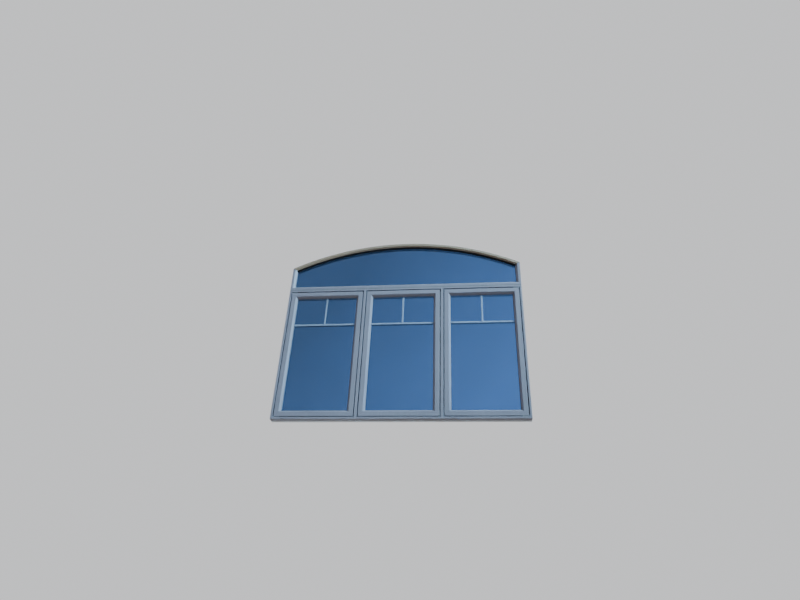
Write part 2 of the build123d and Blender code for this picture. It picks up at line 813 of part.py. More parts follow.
# Track under the sash, in which the operator arm's roller runs
with BuildPart() as operator_track:
    low = sash_bottom - track_height
    half_track = track_width / 2
    block(track_left, track_right, track_y - half_track, track_y + half_track, low, sash_bottom)
    block(track_left, track_right, track_y - half_track + track_wall, track_y + half_track - track_wall,
          low, sash_bottom - track_web, Mode.SUBTRACT)
    for edge, end in ((track_left - track_tab, track_left), (track_right, track_right + track_tab)):
        tab_bottom = sash_bottom - leaf_thickness
        block(edge, end, track_y - half_track, track_y + half_track, tab_bottom, sash_bottom)
    for screw_x in track_screw_xs:
        screw_sink(screw_x, track_y, sash_bottom - leaf_thickness, UP)

# Operator arm: pivots on the housing's stud, carries the roller at its tip
with BuildPart() as operator_arm:
    arm_direction = (cos(radians(arm_angle)), sin(radians(arm_angle)), 0)
    arm_plane = Plane(origin=(pivot_x, pivot_y, arm_bottom), x_dir=arm_direction, z_dir=UP)
    with BuildSketch(arm_plane) as arm_outline:
        Circle(arm_hub_radius)
        with Locations((arm_length / 2, 0)):
            Rectangle(arm_length, arm_width)
        with Locations((arm_length, 0)):
            Circle(arm_tip_radius)
        Circle(stud_radius + running_clearance, mode=Mode.SUBTRACT)
    extrude(arm_outline.sketch, amount=arm_thickness)
    tip = arm_plane.from_local_coords((arm_length, 0, arm_thickness))
    rod(tip, UP, roller_radius, sash_bottom - track_web - arm_top - roller_clearance)

# Operator housing, seated where the stop is cut away
crank_axis = Vector(0, cos(radians(crank_tilt)), sin(radians(crank_tilt)))
crank_face = Vector(0, sin(radians(crank_tilt)), -cos(radians(crank_tilt)))
housing_front = stop_front + housing_clearance
housing_top = frame_face + housing_height
shoulder = Vector(housing_x, back - housing_shoulder, housing_top)
slope_length = (housing_overhang + housing_shoulder) / sin(radians(crank_tilt))
boss_root = shoulder + crank_face * (slope_length / 2)

with BuildPart() as operator_housing:
    toe = shoulder + crank_face * slope_length
    with BuildSketch(Plane(origin=(housing_left, 0, 0), x_dir=(0, 1, 0), z_dir=RIGHT)) as profile:
        Polygon(
            (housing_front, frame_face), (housing_front, housing_top - housing_nose),
            (housing_front + housing_nose_slope, housing_top), (shoulder.Y, shoulder.Z),
            (toe.Y, toe.Z), (toe.Y, frame_face + housing_lift),
            (back, frame_face + housing_lift), (back, frame_face),
        )
    extrude(profile.sketch, amount=housing_length)
    room_side = operator_housing.edges().filter_by(GeomType.LINE).filter_by_position(
        Axis.Y, shoulder.Y - housing_edge_radius, toe.Y + housing_pick_margin
    )
    fillet([edge for edge in room_side if edge.length > wall
            and edge.center().Z > frame_face + housing_lift + housing_pick_margin], housing_edge_radius)
    for edge, end in ((housing_left - housing_tab_length, housing_left),
                      (housing_right, housing_right + housing_tab_length)):
        block(edge, end, housing_front, back, frame_face, frame_face + housing_tab_thickness)
    for screw_x in tab_screw_xs:
        screw_sink(screw_x, tab_screw_y, frame_face + housing_tab_thickness, DOWN)
    block(housing_left, housing_right, housing_front, stop_front + kerf_depth,
          kerf_line - kerf_width / 2, kerf_line + kerf_width / 2, Mode.SUBTRACT)
    slot_left = pivot_x - arm_slot_start
    block(slot_left, slot_left + arm_slot_length, housing_front, housing_front + arm_slot_depth,
          frame_face, frame_face + arm_slot_height, Mode.SUBTRACT)
    rod((pivot_x, pivot_y, frame_face), UP, stud_head_radius, stud_head_height)
    rod((pivot_x, pivot_y, frame_face), UP, stud_radius, arm_slot_height)
    rod(boss_root - crank_axis * crank_boss_radius, crank_axis, crank_boss_radius,
        crank_boss_radius + crank_boss_length)
    bore_start = boss_root + crank_axis * crank_boss_length
    drill(*bore_start, crank_axis * -1, crank_shaft_radius + running_clearance,
          crank_shaft_length + crank_gap)

# Crank handle: shaft, hub, flat blade and a waisted knob
with BuildPart() as crank_handle:
    hub_start = boss_root + crank_axis * (crank_boss_length + crank_gap)
    rod(hub_start, crank_axis, crank_hub_radius, crank_hub_length)
    rod(hub_start, crank_axis * -1, crank_shaft_radius, crank_shaft_length)
    blade = Plane(origin=hub_start + crank_axis * crank_blade_lift, x_dir=RIGHT, z_dir=crank_axis)
    with BuildSketch(blade) as blade_outline:
        Polygon((0, -crank_hub_radius), (crank_reach, -crank_neck_radius),
                (crank_reach, crank_neck_radius), (0, crank_hub_radius))
        with Locations((crank_reach, 0)):
            Circle(crank_neck_radius)
    extrude(blade_outline.sketch, amount=crank_blade_thickness)
    knob = Plane(origin=blade.from_local_coords((crank_reach, 0, crank_blade_thickness)),
                 x_dir=RIGHT, z_dir=blade.y_dir * -1)
    with BuildSketch(knob) as knob_profile:
        with BuildLine():
            Polyline((crank_knob_waist, 0), (0, 0), (0, crank_knob_length),
                     (crank_knob_waist, crank_knob_length))
            Spline((crank_knob_waist, crank_knob_length), (crank_knob_radius, crank_knob_swell),
                   (crank_knob_waist, 0))
        make_face()
    revolve(knob_profile.sketch, axis=Axis(knob.origin, knob.y_dir))

# Lock case on the mullion, with a nose that reaches the tie bar through the stop
with BuildPart() as lock_case:
    with BuildSketch(facade_plane(back)) as case_outline:
        with Locations((lock_x, lock_height)):
            RectangleRounded(lock_case_width, lock_case_length, lock_corner_radius)
    slab(case_outline.sketch, lock_case_depth)
    chamfer(lock_case.faces().sort_by(Axis.Y)[-1].edges(), lock_case_floor)
    half_slot = lock_slot_width / 2
    block(lock_x - half_slot, lock_x + half_slot, back + lock_case_floor, back + lock_case_depth,
          lock_height - lock_case_length / 2, lock_height + lock_case_length / 2, Mode.SUBTRACT)
    half_nose = lock_nose_width / 2
    block(lock_x - half_nose, lock_x + half_nose, stop_front - lock_nose_clearance, back,
          lock_height - lock_nose_height / 2, lock_height + lock_nose_height / 2)
    lever_y = back + lock_case_depth - lever_hub_inset
    rod((lock_x - half_slot, lever_y, lock_height), RIGHT, lever_pin_radius, lock_slot_width)
    for z in lock_screw_heights:
        screw_sink(lock_x, back + lock_case_floor, z, (0, -1, 0))

# Lock lever: a hub on the pin and a tapered handle, drawn unlocked
with BuildPart() as lock_lever:
    lever_origin = (lock_x - lever_thickness / 2, lever_y, lock_height)
    lean = radians(lever_lean)
    tip_y, tip_z = lever_reach * sin(lean), lever_reach * cos(lean)
    with BuildSketch(Plane(origin=lever_origin, x_dir=(0, 1, 0), z_dir=RIGHT)) as lever_outline:
        Circle(lever_hub_radius)
        across = Vector(cos(lean), -sin(lean))
        wide, thin = across * lever_tip_radius, across * (lever_tip_radius / 2)
        Polygon((-wide.X, -wide.Y), (wide.X, wide.Y), (tip_y + thin.X, tip_z + thin.Y),
                (tip_y - thin.X, tip_z - thin.Y))
        with Locations((tip_y, tip_z)):
            Circle(lever_tip_radius)
        Circle(lever_pin_radius + running_clearance, mode=Mode.SUBTRACT)
    extrude(lever_outline.sketch, amount=lever_thickness)

# Tie bar in the mullion's groove, with its lug and rollers riveted into it: unlocked,
# the rollers stand above the keepers
unlocked_rise = keeper_length / 2 + tie_roller_radius + keeper_roller_margin
lug_middle = lock_height + tie_bar_travel / 2
lug_front = tie_front + tie_groove_width / 2
lug_rivet_y = (lug_front + tie_front + tie_groove_width - tie_bar_clearance) / 2
rivets = [(lug_rivet_y, lug_middle)] + [(roller_y, z + unlocked_rise) for z in keeper_heights]
with BuildPart() as tie_bar:
    block(tie_face_x, tie_face_x + tie_groove_depth, tie_front + tie_bar_clearance,
          tie_front + tie_groove_width - tie_bar_clearance, tie_bar_low, tie_bar_high)
    for y, z in rivets:
        drill(tie_face_x, y, z, RIGHT, tie_rivet_radius + running_clearance, tie_groove_depth)
    tie_seat = tie_face_x - running_clearance
    block(tie_seat - tie_lug_reach, tie_seat, lug_front, stop_front - 2 * lock_nose_clearance,
          lug_middle - tie_lug_height / 2, lug_middle + tie_lug_height / 2)
    for y, z in rivets[1:]:
        rod((tie_seat, y, z), LEFT, tie_roller_radius, tie_roller_reach)
    for y, z in rivets:
        rod((tie_seat, y, z), RIGHT, tie_rivet_radius, running_clearance + tie_groove_depth)

# Keepers on the sash's free edge: a plate with a rib that the rollers slide behind
with BuildPart() as keepers:
    for z in keeper_heights:
        z0, z1 = z - keeper_length / 2, z + keeper_length / 2
        block(sash_right, sash_right + keeper_plate, rib_front, rib_front + keeper_plate_width, z0, z1)
        block(sash_right, sash_right + keeper_rib_reach, rib_front, rib_front + keeper_rib, z0, z1)
        screw_sink(sash_right + keeper_plate, keeper_screw_y, z, LEFT)

# Screws in the frame: mullion ends and hardware
with BuildPart() as left_frame_screws:
    flat_screw(-mullion_x, port_y, frame_face - wall - mullion_head_height, UP, mullion_screw_radius,
               mullion_head_radius, mullion_head_height, mullion_screw_length)
    flat_screw(-mullion_x, port_y, head_floor + wall + mullion_head_height, DOWN, mullion_screw_radius,
               mullion_head_radius, mullion_head_height, mullion_screw_length)
    for screw_x in leaf_screw_xs:
        hardware_screw(screw_x, leaf_screw_y, frame_face + leaf_thickness, DOWN)
        hardware_screw(screw_x, leaf_screw_y, head_floor - leaf_thickness, UP)
    for screw_x in tab_screw_xs:
        hardware_screw(screw_x, tab_screw_y, frame_face + housing_tab_thickness, DOWN)
    for z in lock_screw_heights:
        hardware_screw(lock_x, back + lock_case_floor, z, (0, -1, 0))

with BuildPart() as frame_screws:
    add(left_frame_screws.part)
    mirror(about=Plane.YZ)
save(frame_screws, "frame_screws")

with BuildPart() as sash_screws:
    for screw_x in leaf_screw_xs:
        hardware_screw(screw_x, leaf_screw_y, sash_bottom - leaf_thickness, UP)
        hardware_screw(screw_x, leaf_screw_y, sash_top + leaf_thickness, DOWN)
    for screw_x in track_screw_xs:
        hardware_screw(screw_x, track_y, sash_bottom - leaf_thickness, UP)
    for z in keeper_heights:
        hardware_screw(sash_right + keeper_plate, keeper_screw_y, z, LEFT)

# The right light's hardware mirrors the left's
for name, piece in (
    ("sash_hinge_leaves", sash_hinge_leaves), ("operator_track", operator_track),
    ("operator_arm", operator_arm), ("operator_housing", operator_housing),
    ("crank_handle", crank_handle), ("lock_case", lock_case), ("lock_lever", lock_lever),
    ("tie_bar", tie_bar), ("keepers", keepers), ("sash_screws", sash_screws),
):
    save(piece, f"left_{name}")
    with BuildPart() as opposite:
        add(mirror(piece.part, about=Plane.YZ, mode=Mode.PRIVATE))
    save(opposite, f"right_{name}")
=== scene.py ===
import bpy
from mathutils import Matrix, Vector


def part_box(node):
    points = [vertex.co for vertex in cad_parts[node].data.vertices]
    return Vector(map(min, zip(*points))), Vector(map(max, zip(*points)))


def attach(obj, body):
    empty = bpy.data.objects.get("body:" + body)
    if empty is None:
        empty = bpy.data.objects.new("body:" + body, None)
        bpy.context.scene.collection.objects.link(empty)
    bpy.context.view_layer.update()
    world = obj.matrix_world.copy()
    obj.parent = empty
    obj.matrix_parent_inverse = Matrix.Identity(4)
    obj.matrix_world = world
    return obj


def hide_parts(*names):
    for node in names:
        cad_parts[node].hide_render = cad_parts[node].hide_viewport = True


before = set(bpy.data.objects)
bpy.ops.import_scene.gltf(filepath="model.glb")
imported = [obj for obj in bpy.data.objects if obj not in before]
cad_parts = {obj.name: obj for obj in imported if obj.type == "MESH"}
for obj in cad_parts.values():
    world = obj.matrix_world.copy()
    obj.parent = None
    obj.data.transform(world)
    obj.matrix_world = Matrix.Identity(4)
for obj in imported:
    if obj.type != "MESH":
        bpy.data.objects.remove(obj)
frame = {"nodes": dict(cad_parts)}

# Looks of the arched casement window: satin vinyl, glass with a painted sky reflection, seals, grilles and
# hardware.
"""Looks of the arched casement window: satin vinyl, coated glass, seals, grilles and hardware.

The window stands at rest with its lights closed. X runs across it, Y from outdoors to
the room and Z up from the underside of the sill, in metres.
"""

import logging
from abc import ABC, abstractmethod
from dataclasses import asdict, dataclass, field
from enum import Enum
from math import pi, radians
from typing import Any, Iterable

import bmesh
import bpy
from mathutils import Matrix, Vector

LOG = logging.getLogger("arched_window")
Colour = tuple[float, float, float]
Point = tuple[float, float, float]
Range = tuple[float, float]
Material, Mesh, Node = bpy.types.Material, bpy.types.Mesh, bpy.types.Node
Object, Socket, Tree = bpy.types.Object, bpy.types.NodeSocket, bpy.types.NodeTree

FLOAT, VECTOR, GEOMETRY = "NodeSocketFloat", "NodeSocketVector", "NodeSocketGeometry"
MATERIAL = "NodeSocketMaterial"

SASH_PITCH = 0.826
CASEMENT_MIDDLE = 0.737
BEVEL_SAMPLES = 4


@dataclass
class Sheet:
    """A node tree that is being filled.

    Args:
        tree: the shader or geometry node tree.
    """

    tree: Tree

    def add(self, kind: str, inputs: dict[Any, Any] | None = None, **settings: Any) -> Node:
        """Adds one node.

        Args:
            kind: the node's type name.
            inputs: values or sockets for its inputs, by name or number.
            settings: the node's own properties.

        Returns:
            The new node.
        """
        node = self.tree.nodes.new(kind)
        for key, value in settings.items():
            setattr(node, key, value)
        for key, value in (inputs or {}).items():
            self.feed(node.inputs[key], value)
        return node

    def feed(self, socket: Socket, value: Any) -> None:
        """Links an input, or sets its plain value.

        Args:
            socket: the input.
            value: the socket that feeds it, or its number, vector or colour.
        """
        if isinstance(value, Socket):
            self.tree.links.new(value, socket)
        else:
            socket.default_value = (*value, 1.0) if socket.type == "RGBA" else value

    def math(self, operation: str, *values: Any, clamp: bool = False) -> Socket:
        """One arithmetic step on numbers or sockets."""
        node = self.add("ShaderNodeMath", dict(enumerate(values)), operation=operation, use_clamp=clamp)
        return node.outputs[0]

    def times(self, first: Any, second: Any) -> Socket:
        """The product of two numbers or sockets."""
        return self.math("MULTIPLY", first, second)

    def mix(self, factor: Any, first: Any, second: Any) -> Socket:
        """Blend of two colours by a factor."""
        return self.add("ShaderNodeMix", {0: factor, 6: first, 7: second}, data_type="RGBA").outputs[2]

    def spread(self, value: Any, over: Range, onto: tuple[Any, float] = (0.0, 1.0)) -> Socket:
        """A value taken from one range to another, smoothly and clamped."""
        inputs = dict(enumerate((value, *over, *onto)))
        return self.add("ShaderNodeMapRange", inputs, interpolation_type="SMOOTHSTEP").outputs[0]

    def noise(self, vector: Any, scale: Any, detail: float) -> Socket:
        """Noise from 0 to 1, with its grains to a unit and its octaves."""
        inputs = {"Vector": vector, "Scale": scale, "Detail": detail}
        return self.add("ShaderNodeTexNoise", inputs).outputs[0]

    def vector(self, x: Any = 0.0, y: Any = 0.0, z: Any = 0.0) -> Socket:
        """Three numbers or sockets as one vector."""
        return self.add("ShaderNodeCombineXYZ", {0: x, 1: y, 2: z}).outputs[0]

    def parts(self, vector: Socket) -> Any:
        """A vector's three sockets, X, Y and Z."""
        return self.add("ShaderNodeSeparateXYZ", {0: vector}).outputs

    def stretched(self, vector: Socket, by: Any) -> Socket:
        """A vector multiplied axis by axis."""
        return self.add("ShaderNodeVectorMath", {0: vector, 1: by}, operation="MULTIPLY").outputs[0]

    def block(self, x: Any, y: Any, z: Any) -> Socket:
        """A box mesh of the given size round the origin."""
        return self.add("GeometryNodeMeshCube", {"Size": self.vector(x, y, z)}).outputs[0]

    def moved(self, shape: Socket, **change: Any) -> Socket:
        """A shape with a Translation, Rotation or Scale."""
        return self.add("GeometryNodeTransform", {"Geometry": shape, **change}).outputs[0]


def new_group(name: str, kind: str, inputs: list[tuple], outputs: list[tuple]) -> tuple[Sheet, Any, Any]:
    """An empty node group with its named sockets.

    Args:
        name: the group's name.
        kind: the tree's type.
        inputs: name, socket type and, where it has one, default of each input.
        outputs: name and socket type of each output.

    Returns:
        The sheet, the sockets that are given and the ones that are to be fed.
    """
    tree = bpy.data.node_groups.new(name, kind)
    for title, socket_type, *default in inputs:
        socket = tree.interface.new_socket(title, in_out="INPUT", socket_type=socket_type)
        if default:
            socket.default_value = default[0]
    for title, socket_type in outputs:
        tree.interface.new_socket(title, in_out="OUTPUT", socket_type=socket_type)
    sheet = Sheet(tree)
    return sheet, sheet.add("NodeGroupInput").outputs, sheet.add("NodeGroupOutput").inputs


def titled(sizes: Any) -> dict[str, Any]:
    """A dataclass's values under their sockets' names, as Half Width for half_width."""
    return {key.replace("_", " ").title(): value for key, value in asdict(sizes).items()}


class ShapeTree(Sheet):
    """A geometry node tree that puts one shape on each of its places."""

    def __init__(self, name: str, sizes: Iterable[str]) -> None:
        """Makes the tree with its named inputs.

        Args:
            name: the tree's name.
            sizes: the names of the shape's sizes.
        """
        inputs = [("Places", GEOMETRY), *((size, FLOAT) for size in sizes), ("Material", MATERIAL)]
        sheet, self.given, self.out = new_group(name, "GeometryNodeTree", inputs, [("Shapes", GEOMETRY)])
        super().__init__(sheet.tree)

    def sizes(self, *titles: str) -> list[Socket]:
        """The sockets of the named sizes."""
        return [self.given[title] for title in titles]

    def stand(self, shape: Socket, **turn: Any) -> Tree:
        """Ends the tree: the shape on each place, made real and given its material.

        Args:
            shape: the shape's socket.
            turn: the copies' Rotation, where they have one.

        Returns:
            The finished tree.
        """
        places, material = self.given["Places"], self.given["Material"]
        copies = self.add("GeometryNodeInstanceOnPoints", {"Points": places, "Instance": shape, **turn})
        solid = self.add("GeometryNodeRealizeInstances", {0: copies.outputs[0]})
        dressed = self.add("GeometryNodeSetMaterial", {"Geometry": solid.outputs[0], "Material": material})
        self.feed(self.out[0], dressed.outputs[0])
        return self.tree


def loose_points(name: str, places: Iterable[Iterable[float]]) -> Mesh:
    """A mesh of loose points.

    Args:
        name: the mesh's name.
        places: where the points are.

    Returns:
        The mesh.
    """
    mesh = bpy.data.meshes.new(name)
    mesh.from_pydata([tuple(place) for place in places], [], [])
    return mesh


def new_object(name: str, data: Any) -> Object:
    """A new object in the scene.

    Args:
        name: its name.
        data: its mesh, light or camera.

    Returns:
        The object.
    """
    item = bpy.data.objects.new(name, data)
    bpy.context.scene.collection.objects.link(item)
    return item


def grow(name: str, source: Mesh, tree: Tree, values: dict[str, Any]) -> Mesh:
    """Runs a geometry node tree once and keeps its result as a plain mesh.

    Args:
        name: the result's name.
        source: mesh that the tree starts from.
        tree: the geometry node tree.
        values: what its named inputs are set to.

    Returns:
        The plain mesh.
    """
    carrier = new_object(name, source)
    modifier = carrier.modifiers.new("pattern", "NODES")
    modifier.node_group = tree
    sockets = {item.name: item.identifier for item in tree.interface.items_tree if item.in_out == "INPUT"}
    for title, value in values.items():
        modifier[sockets[title]] = value
    evaluated = carrier.evaluated_get(bpy.context.evaluated_depsgraph_get())
    result = bpy.data.meshes.new_from_object(evaluated)
    result.name = name
    carrier.modifiers.remove(modifier)
    bpy.data.objects.remove(carrier)
    return result


def place_piece(name: str, meshes: list[Mesh], material: Material, body: str, slot: str, *nodes: str) -> None:
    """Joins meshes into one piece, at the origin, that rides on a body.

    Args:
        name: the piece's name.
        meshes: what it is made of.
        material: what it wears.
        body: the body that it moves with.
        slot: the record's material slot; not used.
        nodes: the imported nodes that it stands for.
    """
    shape = bmesh.new()
    for mesh in meshes:
        shape.from_mesh(mesh)
    for face in shape.faces:
        face.material_index = 0
    bmesh.ops.recalc_face_normals(shape, faces=shape.faces)
    joined = bpy.data.meshes.new(name)
    shape.to_mesh(joined)
    shape.free()
    joined.materials.append(material)
    piece = new_object(name, joined)
    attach(piece, body)
    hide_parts(*nodes)
    LOG.info("%s: %d faces on %s", name, len(joined.polygons), body)


@dataclass
class Effects:
    """The shader node groups that several finishes share, each built once.

    Args:
        cloud_detail, pebble_detail, speck_detail, streak_detail, line_detail: each noise's octaves.
        speck_scale: scale of the specks in dust.
        dust_tilt: how far up a face looks, as its normal's Z, where dust starts and is full.
        dust_noise, streak_noise: the noise where dust or a streak starts and is full.
        streak_stretch: scale of the rain streaks along each axis.
    """

    cloud_detail: float = 3.0
    pebble_detail: float = 2.0
    speck_scale: float = 45.0
    speck_detail: float = 5.0
    dust_tilt: Range = (0.25, 0.95)
    dust_noise: Range = (0.35, 0.7)
    streak_stretch: Point = (60.0, 60.0, 1.6)
    streak_detail: float = 4.0
    streak_noise: Range = (0.5, 0.75)
    line_detail: float = 3.0

    def __post_init__(self) -> None:
        """Builds every group."""
        self._grain()
        self._corners()
        self._weather()
        self._brushing()

    def _grain(self) -> None:
        """Moulded or extruded skin: slow clouds of tone and a fine pebble."""
        sheet, given, out = new_group(
            "Skin Grain", "ShaderNodeTree",
            [("Vector", VECTOR), ("Pebble", FLOAT, 900.0), ("Cloud", FLOAT, 3.0)],
            [("Tone", FLOAT), ("Height", FLOAT)],
        )
        for scale, detail, result in (
            ("Cloud", self.cloud_detail, "Tone"), ("Pebble", self.pebble_detail, "Height")
        ):
            noise = sheet.noise(given["Vector"], given[scale], detail)
            sheet.feed(out[result], noise)
        self.grain = sheet.tree

    def _corners(self) -> None:
        """Fine weld line where two lineals meet at 45 degrees in a rectangle's corners."""
        sheet, given, out = new_group(
            "Welded Corners", "ShaderNodeTree",
            [("Vector", VECTOR), ("Pitch", FLOAT, 1.0), ("Half Width", FLOAT, 0.4),
             ("Half Height", FLOAT, 0.7), ("Middle", FLOAT, 0.7), ("Line", FLOAT, 0.0006)],
            [("Line", FLOAT)],
        )
        spot = sheet.parts(given["Vector"])
        half = sheet.times(given["Pitch"], 0.5)
        low = sheet.times(given["Pitch"], -0.5)
        local = sheet.math("ABSOLUTE", sheet.math("WRAP", spot[0], half, low))
        across = sheet.math("SUBTRACT", given["Half Width"], local)
        rise = sheet.math("ABSOLUTE", sheet.math("SUBTRACT", spot[2], given["Middle"]))
        upward = sheet.math("SUBTRACT", given["Half Height"], rise)
        apart = sheet.math("ABSOLUTE", sheet.math("SUBTRACT", across, upward))
        sheet.feed(out["Line"], sheet.math("LESS_THAN", apart, given["Line"]))
        self.corners = sheet.tree

    def _weather(self) -> None:
        """Dust that settles on upward faces and faint rain streaks down the upright ones."""
        sheet, given, out = new_group(
            "Weathering", "ShaderNodeTree", [("Vector", VECTOR), ("Normal", VECTOR)],
            [("Dust", FLOAT), ("Streaks", FLOAT)],
        )
        spot = given["Vector"]
        upward = sheet.spread(sheet.parts(given["Normal"])[2], self.dust_tilt)
        specks = sheet.spread(sheet.noise(spot, self.speck_scale, self.speck_detail), self.dust_noise)
        sheet.feed(out["Dust"], sheet.times(upward, specks))
        streaks = sheet.noise(sheet.stretched(spot, self.streak_stretch), 1.0, self.streak_detail)
        sheet.feed(out["Streaks"], sheet.spread(streaks, self.streak_noise))
        self.weather = sheet.tree

    def _brushing(self) -> None:
        """Rolled or brushed metal: long fine lines and a cloudy plating."""
        sheet, given, out = new_group(
            "Brushing", "ShaderNodeTree",
            [("Vector", VECTOR), ("Stretch", VECTOR, (20.0, 900.0, 900.0)), ("Cloud", FLOAT, 60.0)],
            [("Lines", FLOAT), ("Plating", FLOAT)],
        )
        spot = given["Vector"]
        drawn = sheet.stretched(spot, given["Stretch"])
        plating = sheet.add("ShaderNodeTexVoronoi", {"Vector": spot, "Scale": given["Cloud"]})
        sheet.feed(out["Lines"], sheet.noise(drawn, 1.0, self.line_detail))
        sheet.feed(out["Plating"], plating.outputs["Distance"])
        self.brushing = sheet.tree


class Coat(Sheet):
    """A new material's node tree, with one Principled shader."""

    def __init__(self, name: str, effects: Effects) -> None:
        """Makes the material.

        Args:
            name: the material's name.
            effects: the shader groups that it can use.
        """
        self.material = bpy.data.materials.new(name)
        self.material.use_nodes = True
        super().__init__(self.material.node_tree)
        self.effects = effects
        self.shader = self.tree.nodes["Principled BSDF"]
        places = self.add("ShaderNodeTexCoord").outputs
        self.spot, self.normal = places["Object"], places["Normal"]

    def set(self, title: str, value: Any) -> None:
        """Feeds one of the shader's inputs."""
        self.feed(self.shader.inputs[title], value)

    def group(self, tree: Tree, **inputs: Any) -> Any:
        """The outputs of a shader group that is read at the material's own places."""
        return self.add("ShaderNodeGroup", {"Vector": self.spot, **inputs}, node_tree=tree).outputs

    def uneven(self, noise: Socket, middle: float, swing: float) -> None:
        """Roughness that swings round its middle with a noise from 0 to 1."""
        self.set("Roughness", self.math("ADD", self.times(noise, swing), middle - swing / 2))

    def bump(self, height: Socket, depth: float, **more: Any) -> None:
        """A relief from a height of 0 to 1 and its depth in metres."""
        node = self.add("ShaderNodeBump", {"Strength": 1.0, "Distance": depth, "Height": height, **more})
        self.set("Normal", node.outputs[0])

    def relief(self, height: Socket, depth: float, edge: float) -> None:
        """Edges softened to a radius, and a relief on top of them."""
        soft = self.add("ShaderNodeBevel", {"Radius": edge}, samples=BEVEL_SAMPLES)
        self.bump(height, depth, Normal=soft.outputs[0])


@dataclass(frozen=True)
class Finish(ABC):
    """What every finish has.

    Args:
        name: its name, with which the material's name starts.
    """

    name: str

    def make(self, effects: Effects) -> Material:
        """Builds the material.

        Args:
            effects: the shader groups that finishes share.

        Returns:
            The material.
        """
        coat = Coat(f"{self.name}_finish", effects)
        self.paint(coat)
        return coat.material

    @abstractmethod
    def paint(self, coat: Coat) -> None:
        """Fills the material's node tree.

        Args:
            coat: the tree.
        """


@dataclass(frozen=True)
class Welds:
    """Where a rectangle of lineals is welded.

    Args:
        half_width, half_height: half the rectangle's outer sizes.
        middle: height of its middle.
        pitch: how far it is to the next one, or more than the window's width.
    """

    half_width: float
    half_height: float
    middle: float
    pitch: float = 8.0


@dataclass(frozen=True)
class Vinyl(Finish):
    """Extruded vinyl with a coloured skin outdoors and a white one in the room.

    Args:
        outside: colour of the skin outdoors.
        inside: colour of the body and of the room side.
        split: Y where the outdoor skin ends.
        welds: where its corners are welded, or None.
        roughness, swing: its middle roughness, and how far it varies.
        pebble, depth: scale and depth of its skin's pebble.
        edge: radius that its edges seem to have.
        clouds: the tone's noise where darker clouds start and are full.
        cloud, dust, streak, weld: how much of the skin each covers, with a colour for each.
        weld_depth: how deep a weld line is, in depths of the pebble.
    """

    outside: Colour
    inside: Colour
    split: float
    welds: Welds | None = None
    roughness: float = 0.4
    swing: float = 0.12
    pebble: float = 1400.0
    depth: float = 0.00004
    edge: float = 0.0007
    clouds: Range = (0.3, 0.7)
    cloud: float = 0.10
    cloud_colour: Colour = (0.02, 0.025, 0.03)
    dust: float = 0.22
    dust_colour: Colour = (0.42, 0.39, 0.34)
    streak: float = 0.07
    streak_colour: Colour = (0.55, 0.54, 0.52)
    weld: float = 0.55
    weld_colour: Colour = (0.03, 0.03, 0.03)
    weld_depth: float = 4.0

    def paint(self, coat: Coat) -> None:
        """Paints both skins, with clouds, dust, rain streaks and weld lines.

        Args:
            coat: the material's node tree.
        """
        grain = coat.group(coat.effects.grain, Pebble=self.pebble)
        weather = coat.group(coat.effects.weather, Normal=coat.normal)
        indoors = coat.math("GREATER_THAN", coat.parts(coat.spot)[1], self.split)
        outdoors = coat.math("SUBTRACT", 1.0, indoors)
        skin = coat.mix(indoors, self.outside, self.inside)
        clouds = coat.spread(grain["Tone"], self.clouds, (0.0, self.cloud))
        skin = coat.mix(clouds, skin, self.cloud_colour)
        for title, share, colour in (
            ("Dust", self.dust, self.dust_colour), ("Streaks", self.streak, self.streak_colour)
        ):
            here = coat.times(weather[title], outdoors)
            skin = coat.mix(coat.times(here, share), skin, colour)
        height = grain["Height"]
        if self.welds:
            line = coat.group(coat.effects.corners, **titled(self.welds))["Line"]
            skin = coat.mix(coat.times(line, self.weld), skin, self.weld_colour)
            height = coat.math("SUBTRACT", height, coat.times(line, self.weld_depth))
        coat.set("Base Color", skin)
        coat.uneven(grain["Tone"], self.roughness, self.swing)
        coat.relief(height, self.depth, self.edge)


